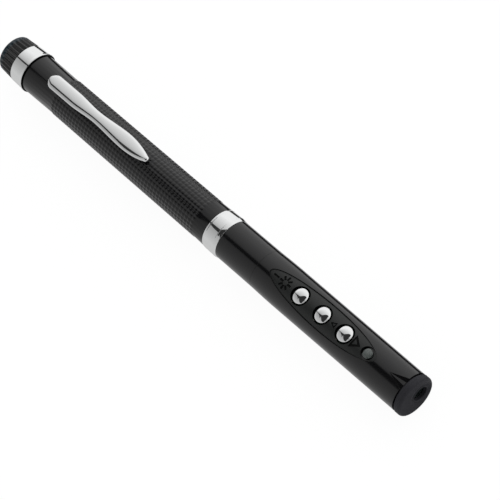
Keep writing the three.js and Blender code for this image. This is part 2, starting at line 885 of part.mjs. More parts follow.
function noseCap() {
  const outside = [];
  for (let i = 0; i <= rimSteps; i += 1) {
    const turn = (Math.PI / 2) * (i / rimSteps);
    const x = noseEnd - noseFillet * (1 - Math.sin(turn));
    outside.push([x, noseRadius - noseFillet * (1 - Math.cos(turn))]);
  }
  const body = turned([
    [noseBack - nosePlugLength, 0],
    [noseBack - nosePlugLength, nosePlugRadius],
    [noseBack, nosePlugRadius],
    [noseBack, noseRadius - noseLipStep],
    [noseBack + noseLipStep, noseRadius],
    ...outside,
    [noseEnd, 0],
  ]);
  const seatFront = noseEnd - apertureDepth;
  const seat = onBeam(rod(noseBack - nosePlugLength - overrun, seatFront, laserRadius + fit, innerFacets));
  const aperture = onBeam(rod(seatFront - overrun, noseEnd + overrun, apertureRadius, innerFacets));
  return body.subtract(seat).subtract(aperture);
}

const windowFront = noseEnd - apertureDepth - fit;
const windowPane = rod(windowFront - windowThickness, windowFront, laserRadius - fit, innerFacets);

addPiece('nose_cap', noseCap(), blackPlastic);
addPiece('aperture_window', onBeam(windowPane), clearGlass);

const presenter = new THREE.Group();
presenter.add(pen);

export default presenter;
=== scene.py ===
"""Looks of a pen-shaped laser presenter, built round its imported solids.

Everything is in metres, in the solids' own frame: the pen lies along X with its nose towards +X,
and the buttons and the clip are on its upper side, +Z. Sizes below are written in millimetres.
"""

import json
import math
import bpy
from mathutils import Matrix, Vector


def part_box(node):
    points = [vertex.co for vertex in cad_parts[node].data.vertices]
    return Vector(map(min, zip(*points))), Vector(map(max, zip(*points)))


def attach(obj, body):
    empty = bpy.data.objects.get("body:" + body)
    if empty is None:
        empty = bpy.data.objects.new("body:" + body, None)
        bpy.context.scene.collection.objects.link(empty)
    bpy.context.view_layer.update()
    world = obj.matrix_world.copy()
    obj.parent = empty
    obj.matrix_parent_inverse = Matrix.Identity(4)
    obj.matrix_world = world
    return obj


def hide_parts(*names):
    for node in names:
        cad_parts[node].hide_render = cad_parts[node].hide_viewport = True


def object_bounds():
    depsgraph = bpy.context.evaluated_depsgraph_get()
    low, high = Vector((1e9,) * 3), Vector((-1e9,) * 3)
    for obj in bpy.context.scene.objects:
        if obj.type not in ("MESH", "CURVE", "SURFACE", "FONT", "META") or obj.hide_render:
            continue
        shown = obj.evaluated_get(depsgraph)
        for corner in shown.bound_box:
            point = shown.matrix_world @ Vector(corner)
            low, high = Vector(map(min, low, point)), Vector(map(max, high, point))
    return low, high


bl_info = {
    "name": "Laser presenter looks",
    "version": (1, 0, 0),
    "blender": (4, 5, 0),
    "location": "3D View > Sidebar > Presenter",
    "description": "Dresses the packed solids of a pen-shaped laser presenter and lights them",
    "category": "Object",
}

import bmesh
import bpy
from bpy.props import FloatProperty, FloatVectorProperty, IntProperty, PointerProperty
from bpy.types import Operator, Panel, PropertyGroup
from mathutils import Matrix, Vector

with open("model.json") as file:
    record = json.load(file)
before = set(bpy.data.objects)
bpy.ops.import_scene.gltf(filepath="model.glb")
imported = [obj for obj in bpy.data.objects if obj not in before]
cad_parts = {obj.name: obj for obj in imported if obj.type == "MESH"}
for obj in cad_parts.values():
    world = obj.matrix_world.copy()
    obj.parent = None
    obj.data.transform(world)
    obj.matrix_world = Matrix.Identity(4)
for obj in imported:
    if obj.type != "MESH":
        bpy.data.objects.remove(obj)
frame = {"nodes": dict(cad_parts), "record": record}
cad_low, cad_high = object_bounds()

MM = 0.001
FULL_TURN = 2 * math.pi
SOLID_FACETS = 48

# How finely round things are drawn
ROUND_STEPS = 160
SMALL_ROUND_STEPS = 96
CORNER_STEPS = 4
CORNER_SHARE = 0.45
SHARP_ANGLE = math.radians(38)
CUT_ANGLE = math.radians(11)
WELD = 1e-7

# How near a vertex is to a surface that it lies on, and how far a cutter runs past what it cuts
ON_SURFACE = 0.02 * MM
OVERRUN = 1 * MM


def span(node):
    """Where a solid starts and ends along the pen."""
    low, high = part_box(node)
    return low.x, high.x


def middle(node):
    low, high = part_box(node)
    return (low + high) / 2


def radius_of(node):
    """The true radius of a solid that is revolved with the frame's facets."""
    low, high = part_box(node)
    return (high.y - low.y) / 2 / math.cos(math.pi / SOLID_FACETS)


AXIS = middle("upper_barrel").z
TAIL_END = span("tail_cap")[0]
RING_BACK = span("tail_ring")[0]
UPPER_BACK, MID_BACK = span("upper_barrel")
SLEEVE_BACK, HOUSING_BACK = span("lower_sleeve")
NOSE_BACK = span("front_housing")[1]
NOSE_END = span("nose_cap")[1]
BUTTONS = [f"button_{i + 1}" for i in range(3)]


def linear(hex_colour):
    """An sRGB hex colour as linear red, green and blue."""
    parts = [int(hex_colour[i : i + 2], 16) / 255 for i in (1, 3, 5)]
    return [c / 12.92 if c <= 0.04045 else ((c + 0.055) / 1.055) ** 2.4 for c in parts]


def length(name, description, value_mm):
    value = value_mm * MM
    return FloatProperty(name=name, description=description, default=value, unit="LENGTH", precision=6)


def angle(name, description, degrees):
    value = math.radians(degrees)
    return FloatProperty(name=name, description=description, default=value, unit="ROTATION")


def colour(name, description, hex_colour):
    value = linear(hex_colour)
    return FloatVectorProperty(name=name, description=description, default=value, subtype="COLOR")


class PresenterSizes(PropertyGroup):
    """Sizes that the solids' boxes don't give."""

    upper_back_radius: length("Barrel radius at the tail", "Upper barrel radius beside the tail ring", 6.33)
    lower_back_radius: length("Lower barrel radius", "Lower barrel radius beside the middle ring", 6.47)
    seam_radius: length("Seam radius", "Lower barrel radius at the seam", 6.5)
    swell_radius: length("Swell radius", "Largest radius of the lower barrel", 6.66)
    swell_away: length("Swell place", "Distance from the seam to the largest radius", 9.0)
    lower_front_radius: length("Radius at the nose", "Lower barrel radius beside the nose cap", 6.53)
    bore_radius: length("Bore radius", "Inside radius of the barrels", 5.5)

    cap_gap: length("Cap gap", "Gap between the tail cap and its ring", 0.1)
    cap_front_radius: length("Cap radius", "Tail cap radius beside its ring", 6.45)
    cap_end_radius: length("Cap end radius", "Tail cap radius where its rim starts", 6.05)
    cap_fillet: length("Cap fillet", "Fillet round the end of the tail cap", 1.0)
    cap_rim: length("Cap rim", "Smooth rim behind the flutes", 0.9)
    flute_count: IntProperty(name="Flutes", description="Grooves round the tail cap", default=24, min=8)
    flute_depth: length("Flute depth", "Depth of the grooves in the tail cap", 0.5)

    ring_back_radius: length("Tail ring radius", "Tail ring radius beside the cap", 6.5)
    ring_waist_radius: length("Tail ring waist", "Tail ring radius before its lip", 6.68)
    mid_back_radius: length("Middle ring radius", "Middle ring radius at its tail side", 6.55)
    mid_crown_radius: length("Middle ring crown", "Middle ring radius before its lip", 6.74)
    lip_length: length("Lip length", "Length of the tail ring's lip", 0.4)
    lip_ramp: length("Lip ramp", "Length of the rise to that lip", 0.55)
    ring_gap: length("Ring gap", "Gap between the tail ring's lip and the barrel", 0.42)
    mid_rim: length("Middle ring rim", "Rim at the tail side of the middle ring", 0.55)
    mid_lip: length("Middle ring lip", "Sloped lip at the nose side of the middle ring", 1.3)
    mid_lip_drop: length("Lip drop", "Fall of the middle ring's lip towards the nose", 0.27)
    scribed_line: length("Scribed line", "Width and depth of the fine lines round the middle ring", 0.1)
    ring_edge: length("Ring edge", "Rounding of the rings' edges", 0.14)

    weave_start: length("Texture start", "Distance from the tail ring to the texture", 13.0)
    weave_end: length("Texture end", "Distance from the texture to the middle ring", 4.6)
    weave_pitch: length("Texture pitch", "Spacing of the squares along the barrel", 1.36)
    weave_depth: length("Texture depth", "Depth of the grooves between the squares", 0.18)
    weave_round: IntProperty(name="Squares round", description="Squares round the barrel", default=30, min=8)

    panel_tail_length: length("Panel tail", "Length from the panel's tail tip to its widest place", 22.3)
    panel_nose_length: length("Panel nose", "Length from the panel's widest place to its nose end", 20.2)
    panel_half_width: length("Panel half width", "Half of the panel's widest chord", 4.2)
    panel_recess: length("Panel recess", "Depth of the panel below the housing", 0.28)
    panel_underside: length("Panel underside", "Height of the panel's underside above the axis", 4.0)
    rim_bevel: length("Rim bevel", "Chamfer along the panel's rim", 0.26)
    well_radius: length("Button well", "Radius of the wells that the buttons sit in", 2.98)
    bezel_radius: length("Lamp bezel", "Radius of the dark ring round the lamp", 2.1)
    engraving_depth: length("Engraving depth", "Depth of the symbols in the panel", 0.2)

    dart_length: length("Dart length", "Length of the recess behind the nose cap", 5.7)
    dart_half_width: length("Dart half width", "Half width of that recess at the nose cap", 2.2)
    dart_depth: length("Dart depth", "Depth of that recess at the nose cap", 0.58)
    dart_tilt: angle("Dart tilt", "Sideways tilt of that recess's facets", 8)
    nose_fillet: length("Nose fillet", "Fillet round the nose", 0.85)
    nose_lip: length("Nose lip", "Chamfer at the back of the nose cap", 0.2)
    nose_gap: length("Nose gap", "Gap between the housing and the nose cap", 0.5)
    nose_gap_depth: length("Nose gap depth", "Depth of that gap", 0.9)
    aperture_radius: length("Aperture radius", "Radius of the beam aperture", 2.4)
    aperture_chamfer: length("Aperture chamfer", "Chamfer round the aperture", 0.2)
    collar_height: length("Collar height", "Height of the collar round the aperture", 0.3)

    button_dome_radius: length("Button radius", "Radius of the buttons' domes", 2.45)
    button_dome_height: length("Dome height", "Height of the buttons' domes", 1.0)

    clip_root_half_width: length("Clip root", "Half width of the clip at its root", 2.4)
    clip_neck_half_width: length("Clip neck", "Half width of the clip at its neck", 1.82)
    clip_bulge_half_width: length("Clip bulge", "Half width of the clip at its bulge", 2.5)
    clip_tip_radius: length("Clip tip", "Radius of the clip's tip", 1.0)
    clip_thickness: length("Clip thickness", "Thickness of the clip at its crown", 1.15)
    clip_crown_height: length("Clip crown", "Height of the clip's crown across its width", 0.75)
    clip_lean: length("Clip lean", "Sideways lean of the clip's leaf off its root", 0.3)
    clip_turn: angle("Clip turn", "Turn of the clip off the line of the buttons", 4)


class PresenterColours(PropertyGroup):
    """Base colours of the finishes."""

    lacquer: colour("Lacquer", "Black lacquer of the upper barrel", "#101012")
    gloss_black: colour("Gloss black", "Moulded gloss black of the lower barrel", "#111113")
    panel_black: colour("Panel black", "Semi-gloss black of the keypad panel", "#171a19")
    satin_black: colour("Satin black", "Moulded satin black of the nose cap", "#38383d")
    flute_black: colour("Flute black", "Satin black of the tail cap's flutes", "#161415")
    # Painted sheen: the rim's blue cast stands in for a reflection, not for the cap's own colour
    cap_rim: colour("Cap rim", "Blue-black of the tail cap's polished rim", "#0c2631")
    ink: colour("Ink", "Matt black in the engraved symbols", "#101111")
    chrome: colour("Chrome", "Bright chrome plate", "#eceded")
    nickel: colour("Nickel", "Nickel plate of contacts and screws", "#c2beb4")
    steel: colour("Spring steel", "Drawn spring wire", "#b4b4b0")
    brass: colour("Brass", "Turned brass", "#c9a24a")
    cell_film: colour("Cell film", "Printed film round the cells", "#5b6a70")
    rubber: colour("Rubber", "Nitrile rubber seal", "#1c1c1c")
    solder_mask: colour("Solder mask", "Green lacquer of the boards", "#1d5a38")
    epoxy: colour("Epoxy", "Moulded chip packages", "#18181a")
    ceramic: colour("Ceramic", "Fired ceramic packages", "#d8d4c8")
    smoked: colour("Smoked acrylic", "Frosted light pipe", "#7e8683")
    glass: colour("Glass", "Coated window and lens", "#52605e")


# Materials


def add_node(tree, kind, inputs=(), **settings):
    """Adds a node with its settings. Its inputs are constants, sockets, or nodes by their first output."""
    made = tree.nodes.new(f"ShaderNode{kind}")
    for name, value in settings.items():
        setattr(made, name, value)
    for socket, value in inputs.items() if isinstance(inputs, dict) else enumerate(inputs):
        if isinstance(value, bpy.types.Node):
            value = value.outputs[0]
        if isinstance(value, bpy.types.NodeSocket):
            tree.links.new(value, made.inputs[socket])
        else:
            made.inputs[socket].default_value = value
    return made


def new_material(name):
    material = bpy.data.materials.new(name)
    material.use_nodes = True
    material.node_tree.nodes.clear()
    return material, material.node_tree


def mottle(tree, place, rgb, patch, detail, shades):
    """A colour that varies between two shades in patches of a real size, and the patches."""
    patches = add_node(tree, "TexNoise", {"Vector": place, "Scale": 1 / patch, "Detail": detail})
    dark, light = ([min(1.0, part * shade) for part in rgb] for shade in shades)
    mixed = add_node(tree, "Mix", {0: patches, 6: (*dark, 1), 7: (*light, 1)}, data_type="RGBA")
    return mixed.outputs[2], patches


def surface(name, rgb, patch, detail, shades, roughness, optics, bumps=None, stretch=None):
    """A finish whose colour and roughness vary a little together, in patches of a real size.

    Shades are shares of the colour, optics the shader's own values. Bumps have a size, a detail,
    a depth and a strength. Stretch turns the patches into lines.
    """
    material, tree = new_material(name)
    place = add_node(tree, "TexCoord").outputs["Object"]
    if stretch:
        place = add_node(tree, "Mapping", {"Vector": place, "Scale": stretch})
    varied, patches = mottle(tree, place, rgb, patch, detail, shades)
    smooth, rough = roughness
    gloss = add_node(tree, "MapRange", {"Value": patches, "To Min": smooth, "To Max": rough})
    inputs = {"Base Color": varied, "Roughness": gloss, **optics}
    if bumps:
        size, detail, depth, strength = bumps
        height = add_node(tree, "TexNoise", {"Vector": place, "Scale": 1 / size, "Detail": detail})
        relief = {"Height": height, "Distance": depth, "Strength": strength}
        inputs["Normal"] = add_node(tree, "Bump", relief)
    shader = add_node(tree, "BsdfPrincipled", inputs)
    add_node(tree, "OutputMaterial", {"Surface": shader})
    return material


def lacquered_brass(rgb):
    """Sprayed and baked black lacquer: a deep gloss with faint orange peel."""
    peel = (1.2 * MM, 3, 0.01 * MM, 0.5)
    return surface("baked_black_lacquer", rgb, 6 * MM, 4, (0.8, 1.25), (0.13, 0.21), {"IOR": 1.5}, peel)


def gloss_abs(name, rgb, smooth, rough):
    """Polished mould ABS: gloss, with soft sink marks and faint handling haze."""
    sinks = (14 * MM, 1, 0.02 * MM, 0.4)
    return surface(name, rgb, 5 * MM, 5, (0.8, 1.25), (smooth, rough), {"IOR": 1.53}, sinks)


def satin_abs(rgb):
    """Spark-eroded mould ABS: a fine even grain that spreads the highlights."""
    optics = {"IOR": 1.46, "Specular IOR Level": 0.2}
    grain = (0.12 * MM, 2, 0.008 * MM, 0.6)
    return surface("satin_black_abs", rgb, 3 * MM, 3, (0.85, 1.2), (0.52, 0.62), optics, grain)


# How far the rim's real polish and its painted blue sheen reach from the cap's end, and how far they blend
RIM_AND_SHEEN_LENGTH = 2.2 * MM
RIM_AND_SHEEN_BLEND = 0.8 * MM


def fluted_abs(rgb, painted_sheen_rgb):
    """Moulded ABS of the screw cap: satin flutes, and a polished rim whose blue cast is a painted sheen."""
    material, tree = new_material("fluted_black_abs")
    place = add_node(tree, "TexCoord").outputs["Object"]
    along = add_node(tree, "SeparateXYZ", [place])
    rim_end = TAIL_END + RIM_AND_SHEEN_LENGTH
    reach = {"Value": along, "From Min": rim_end, "From Max": rim_end - RIM_AND_SHEEN_BLEND}
    on_rim = add_node(tree, "MapRange", reach, interpolation_type="SMOOTHSTEP")
    black, _ = mottle(tree, place, rgb, 2 * MM, 3, (0.85, 1.2))
    # Painted sheen: towards the end the colour turns to the rim's blue cast
    mixed = add_node(tree, "Mix", {0: on_rim, 6: black, 7: (*painted_sheen_rgb, 1)}, data_type="RGBA")
    gloss = add_node(tree, "MapRange", {"Value": on_rim, "To Min": 0.3, "To Max": 0.16})
    inputs = {"Base Color": mixed.outputs[2], "Roughness": gloss, "IOR": 1.53}
    add_node(tree, "OutputMaterial", {"Surface": add_node(tree, "BsdfPrincipled", inputs)})
    return material


def matt_ink(rgb):
    """Ink wiped into the engraving: matt, and darker than the gloss around it."""
    matt = {"Specular IOR Level": 0.15}
    return surface("matt_black_ink", rgb, 0.5 * MM, 3, (0.8, 1.2), (0.65, 0.8), matt)


def chrome_plate(rgb):
    """Decorative chrome over nickel: a mirror with barely any haze."""
    return surface("bright_chrome", rgb, 4 * MM, 5, (0.96, 1.02), (0.045, 0.1), {"Metallic": 1.0})


def plain_metal(name, rgb, smooth, rough, grain):
    """Machined or drawn metal: fine lines along the pen that blur its highlights."""
    lines = (grain, 4, 0.01 * MM, 0.4)
    drawn = (0.08, 1, 1)
    return surface(name, rgb, grain, 4, (0.85, 1.05), (smooth, rough), {"Metallic": 1.0}, lines, drawn)


def plain_moulding(name, rgb, smooth, rough, grain, optics=None):
    """Moulded or coated part: an even colour with a fine grain."""
    bumps = (grain, 4, 0.01 * MM, 0.3)
    return surface(name, rgb, grain, 4, (0.85, 1.15), (smooth, rough), optics or {}, bumps)


def frosted_acrylic(rgb):
    """Frosted acrylic light pipe: pale grey, cloudy, with a polished crown."""
    optics = {"IOR": 1.49, "Transmission Weight": 0.35, "Coat Weight": 0.5, "Coat Roughness": 0.08}
    return surface("frosted_acrylic", rgb, 0.5 * MM, 4, (0.45, 1.5), (0.25, 0.5), optics)


def coated_glass(rgb):
    """Optical glass: clear and polished, with a faint cast from its coating."""
    optics = {"IOR": 1.52, "Transmission Weight": 0.9}
    return surface("coated_glass", rgb, 0.8 * MM, 5, (0.9, 1.05), (0.01, 0.06), optics)


def make_materials(colours):
    """Every finish by the name of its slot in the record."""
    matt = {"Specular IOR Level": 0.1}
    return {
        "black_lacquer": lacquered_brass(colours.lacquer),
        "black_gloss": gloss_abs("gloss_black_abs", colours.gloss_black, 0.11, 0.2),
        "panel_black": gloss_abs("semi_gloss_black_abs", colours.panel_black, 0.4, 0.5),
        "black_plastic": satin_abs(colours.satin_black),
        # The tail cap's rim colour is a painted blue sheen
        "fluted_black": fluted_abs(colours.flute_black, colours.cap_rim),
        "engraving_ink": matt_ink(colours.ink),
        # Painted shade: matt black for the tail ring's spigot, where the gap beside the barrel lies in shade
        "painted_gap_shade": plain_moulding("matt_black_painted_shade", colours.ink, 0.6, 0.75, 0.3 * MM, matt),
        "chrome": chrome_plate(colours.chrome),
        "nickel": plain_metal("nickel_plate", colours.nickel, 0.18, 0.34, 0.3 * MM),
        "spring_steel": plain_metal("drawn_spring_steel", colours.steel, 0.2, 0.36, 0.15 * MM),
        "brass": plain_metal("turned_brass", colours.brass, 0.18, 0.34, 0.2 * MM),
        "cell_wrap": plain_moulding("shrunk_cell_film", colours.cell_film, 0.3, 0.42, 2 * MM),
        "seal_rubber": plain_moulding("nitrile_rubber", colours.rubber, 0.6, 0.8, 0.4 * MM),
        "board_green": plain_moulding("solder_mask", colours.solder_mask, 0.3, 0.45, 1 * MM),
        "chip_black": plain_moulding("epoxy_package", colours.epoxy, 0.5, 0.65, 0.2 * MM),
        "ceramic_white": plain_moulding("fired_ceramic", colours.ceramic, 0.5, 0.7, 0.3 * MM),
        "smoked_clear": frosted_acrylic(colours.smoked),
        "clear_glass": coated_glass(colours.glass),
    }


materials = {}


def finish(slot):
    if not materials:
        materials.update(make_materials(bpy.context.scene.presenter_colours))
    return materials[slot]


# Outlines


def mix_lengths(a, b, share):
    return a + (b - a) * share


def ease(a, b, share):
    """From a to b with a gentle start and end."""
    share = min(1.0, max(0.0, share))
    return mix_lengths(a, b, share * share * (3 - 2 * share))


def quarter_turn(steps):
    return [math.pi / 2 * i / steps for i in range(steps + 1)]


def from_axis(place):
    """How far a place is from the pen's axis."""
    return math.hypot(place.y, place.z - AXIS)


def round_corners(points, radius):
    """An open outline with each inner corner drawn as a short curve."""
    made = [Vector(points[0])]
    for before, corner, after in zip(points, points[1:], points[2:]):
        corner = Vector(corner)
        back, ahead = Vector(before) - corner, Vector(after) - corner
        reach = min(radius, back.length * CORNER_SHARE, ahead.length * CORNER_SHARE)
        start, end = corner + back.normalized() * reach, corner + ahead.normalized() * reach
        for i in range(CORNER_STEPS + 1):
            t = i / CORNER_STEPS
            made.append(start * (1 - t) ** 2 + corner * (2 * t * (1 - t)) + end * t**2)
    made.append(Vector(points[-1]))
    return made


def dome(radius, height, crest, steps):
    """A round dome as (radius, z) points, from its edge up to its crest."""
    sphere = (radius**2 + height**2) / (2 * height)
    spread = math.asin(radius / sphere)
    turns = [spread * (1 - i / steps) for i in range(steps + 1)]
    return [(sphere * math.sin(turn), crest - sphere * (1 - math.cos(turn))) for turn in turns]


# Meshes


def revolved(points, centre, axis, steps, closed):
    """Spins a line of points right round an axis."""
    bm = bmesh.new()
    verts = [bm.verts.new(point) for point in points]
    edges = [bm.edges.new(pair) for pair in zip(verts, verts[1:])]
    if closed:
        edges.append(bm.edges.new((verts[-1], verts[0])))
    line = verts + edges
    bmesh.ops.spin(bm, geom=line, cent=centre, axis=axis, angle=FULL_TURN, steps=steps, use_merge=True)
    bmesh.ops.remove_doubles(bm, verts=bm.verts, dist=WELD)
    bmesh.ops.recalc_face_normals(bm, faces=bm.faces)
    return bm


def spun(profile, steps=ROUND_STEPS, y=0.0, z=AXIS, closed=True):
    """Spins a profile of (x, radius) points about a line along the pen."""
    points = [(x, y, z + radius) for x, radius in profile]
    return revolved(points, (0, y, z), (1, 0, 0), steps, closed)


def spun_upright(profile, x):
    """Spins a profile of (radius, z) points about an upright line."""
    points = [(x + radius, 0, z) for radius, z in profile]
    return revolved(points, (x, 0, 0), (0, 0, 1), SMALL_ROUND_STEPS, False)


def raise_faces(bm, faces, height):
    """Extrudes faces upwards."""
    made = bmesh.ops.extrude_face_region(bm, geom=faces)["geom"]
    raised = [part for part in made if isinstance(part, bmesh.types.BMVert)]
    bmesh.ops.translate(bm, verts=raised, vec=(0, 0, height))
    bmesh.ops.recalc_face_normals(bm, faces=bm.faces)


def prism(outline, low, high):
    """An upright prism over an outline of (x, y) points."""
    bm = bmesh.new()
    face = bm.faces.new([bm.verts.new((x, y, low)) for x, y in outline])
    raise_faces(bm, [face], high - low)
    return bm


def press_in(vert, depth):
    """Moves a vertex towards the pen's axis."""
    radius = from_axis(vert.co)
    scale = (radius - depth) / radius
    vert.co.y, vert.co.z = vert.co.y * scale, AXIS + (vert.co.z - AXIS) * scale


def shade(bm, sharp_angle):
    """Shades a mesh smooth but for its sharp edges."""
    for face in bm.faces:
        face.smooth = True
    for edge in bm.edges:
        edge.smooth = len(edge.link_faces) != 2 or edge.calc_face_angle(0) < sharp_angle


def new_object(name, bm, material):
    mesh = bpy.data.meshes.new(name)
    bm.to_mesh(mesh)
    bm.free()
    mesh.materials.append(material)
    made = bpy.data.objects.new(name, mesh)
    bpy.context.scene.collection.objects.link(made)
    return made


def to_object(name, bm, slot):
    shade(bm, SHARP_ANGLE)
    return new_object(name, bm, finish(slot))


def dress(piece, body, slot, *nodes):
    """Lets a piece ride on a body and stand for the solids that it replaces."""
    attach(piece, body)
    if nodes:
        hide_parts(*nodes)


def carve(piece, cutter, operation="DIFFERENCE"):
    """Cuts one object by another, whose finish the cut keeps, and removes the cutter."""
    cut = piece.modifiers.new("carve", "BOOLEAN")
    cut.operation = operation
    cut.solver = "EXACT"
    cut.material_mode = "TRANSFER"
    cut.object = cutter
    bpy.context.view_layer.objects.active = piece
    bpy.ops.object.modifier_apply(modifier=cut.name)
    bpy.data.objects.remove(cutter)


def is_sharp(edge):
    return len(edge.link_faces) == 2 and edge.calc_face_angle(0) > SHARP_ANGLE


def reshade(piece, width=0.0, chosen=None, segments=3):
    """Bevels the chosen edges of a carved piece and marks its sharp edges again."""
    bm = bmesh.new()
    bm.from_mesh(piece.data)
    bmesh.ops.remove_doubles(bm, verts=bm.verts, dist=WELD)
    bmesh.ops.dissolve_degenerate(bm, edges=bm.edges, dist=WELD)
    if chosen:
        edges = [edge for edge in bm.edges if is_sharp(edge) and chosen(edge)]
        settings = {"affect": "EDGES", "segments": segments, "profile": 0.5, "material": -1}
        bmesh.ops.bevel(bm, geom=edges, offset=width, clamp_overlap=True, **settings)
    shade(bm, CUT_ANGLE)
    bm.to_mesh(piece.data)
    bm.free()


# Tail cap and rings


class PRESENTER_OT_tail_cap(Operator):
    """Fluted tail cap with its rounded rim and plug"""

    bl_idname = "presenter.tail_cap"
    bl_label = "Tail cap"

    STEPS_PER_FLUTE = 10
    LENGTH_STEPS = 12
    FILLET_STEPS = 8
    EDGE = 0.1 * MM
    GROOVE_CURVE = 1.4

    def execute(self, context):
        sizes = context.scene.presenter_sizes
        front = RING_BACK - sizes.cap_gap
        front_radius, end_radius = sizes.cap_front_radius, sizes.cap_end_radius
        plug_radius = sizes.bore_radius
        plug_end = span("tail_cap")[1]
        fillet = sizes.cap_fillet
        fillet_start = TAIL_END + fillet
        skirt = []
        for i in range(1, self.LENGTH_STEPS):
            share = i / self.LENGTH_STEPS
            x = mix_lengths(front, fillet_start, share)
            skirt.append((x, mix_lengths(front_radius, end_radius, share)))
        rim = [
            (fillet_start - fillet * math.sin(turn), end_radius - fillet * (1 - math.cos(turn)))
            for turn in quarter_turn(self.FILLET_STEPS)
        ]
        profile = [
            (plug_end, 0),
            (plug_end, plug_radius),
            (front, plug_radius),
            (front, front_radius - self.EDGE),
            (front - self.EDGE, front_radius),
            *skirt,
            *rim,
            (TAIL_END, 0),
        ]
        bm = spun(profile, sizes.flute_count * self.STEPS_PER_FLUTE, closed=False)
        flute_end = fillet_start + sizes.cap_rim
        for vert in bm.verts:
            if from_axis(vert.co) <= plug_radius + WELD:
                continue
            turn = math.atan2(vert.co.y, vert.co.z - AXIS)
            groove = (1 - math.cos(turn * sizes.flute_count)) / 2
            fade = ease(0, 1, (vert.co.x - fillet_start) / (flute_end - fillet_start))
            press_in(vert, sizes.flute_depth * groove**self.GROOVE_CURVE * fade)
        bmesh.ops.recalc_face_normals(bm, faces=bm.faces)
        cap = to_object("tail_cap_fluted", bm, "fluted_black")
        dress(cap, "tail_cap", "black_plastic", "tail_cap")
        return {"FINISHED"}


class PRESENTER_OT_rings(Operator):
    """Chrome tail ring and middle ring"""

    bl_idname = "presenter.rings"
    bl_label = "Chrome rings"

    SPIGOT_DROP = 0.5 * MM
    BAND_WALL = 0.5 * MM
    SEAM_STEP = 0.1 * MM
    # Halfway along the middle ring's band, the share of its rise that is done
    CROWN_HALFWAY = 0.75

    def execute(self, context):
        sizes = context.scene.presenter_sizes
        lip = radius_of("tail_ring")
        self.tail_ring(sizes, lip)
        self.mid_ring(sizes, lip)
        return {"FINISHED"}

    def tail_ring(self, sizes, lip):
        """Flares to a lip. Its spigot is painted matt black in the gap beside the barrel, as painted shade.
        """
        ring_end = span("tail_ring")[1]
        spigot = sizes.upper_back_radius - self.SPIGOT_DROP
        lip_front = UPPER_BACK - sizes.ring_gap
        lip_back = lip_front - sizes.lip_length
        profile = [
            (ring_end, sizes.bore_radius),
            (RING_BACK, sizes.bore_radius),
            (RING_BACK, sizes.ring_back_radius),
            (lip_back - sizes.lip_ramp, sizes.ring_waist_radius),
            (lip_back, lip),
            (lip_front, lip),
            (lip_front, spigot),
            (ring_end, spigot),
        ]
        bm = spun(round_corners(profile, sizes.ring_edge / 2))
        ring = to_object("tail_ring_chrome", bm, "chrome")
        # Painted shade: the spigot's faces in the gap beside the barrel get the matt black
        ring.data.materials.append(finish("painted_gap_shade"))
        for face in ring.data.polygons:
            inside = from_axis(face.center) < lip - sizes.ring_edge
            face.material_index = int(face.center.x > lip_front - WELD and inside)
        dress(ring, "pen", "chrome", "tail_ring")

    def mid_ring(self, sizes, lip):
        """A crowned band between a scribed rim and a sloped lip."""
        inside = sizes.bore_radius + self.BAND_WALL
        rim_end = MID_BACK + sizes.mid_rim
        lip_back = SLEEVE_BACK - sizes.mid_lip
        line = sizes.scribed_line
        crown = sizes.mid_crown_radius
        halfway = (rim_end + lip_back) / 2
        profile = [
            (SLEEVE_BACK, inside),
            (MID_BACK, inside),
            (MID_BACK, sizes.mid_back_radius),
            (rim_end, sizes.mid_back_radius + line),
            (rim_end + line, sizes.mid_back_radius - line / 2),
            (rim_end + 2 * line, sizes.mid_back_radius + line),
            (halfway, mix_lengths(sizes.mid_back_radius, crown, self.CROWN_HALFWAY)),
            (lip_back - line, crown),
            (lip_back, crown - line),
            (lip_back + line, lip),
            (SLEEVE_BACK, lip - sizes.mid_lip_drop),
            (SLEEVE_BACK, inside + self.SEAM_STEP),
        ]
        bm = spun(round_corners(profile, sizes.ring_edge / 2))
        dress(to_object("mid_ring_chrome", bm, "chrome"), "pen", "chrome", "mid_ring")


# Barrels


def upper_radius(sizes, x):
    share = (x - UPPER_BACK) / (MID_BACK - UPPER_BACK)
    return mix_lengths(sizes.upper_back_radius, radius_of("upper_barrel"), share)


def lower_radius(sizes, x):
    swell = HOUSING_BACK + sizes.swell_away
    if x < HOUSING_BACK:
        share = (x - SLEEVE_BACK) / (HOUSING_BACK - SLEEVE_BACK)
        return mix_lengths(sizes.lower_back_radius, sizes.seam_radius, share)
    if x < swell:
        share = (x - HOUSING_BACK) / (swell - HOUSING_BACK)
        return mix_lengths(sizes.seam_radius, sizes.swell_radius, math.sin(share * math.pi / 2))
    return mix_lengths(sizes.swell_radius, sizes.lower_front_radius, (x - swell) / (NOSE_BACK - swell))


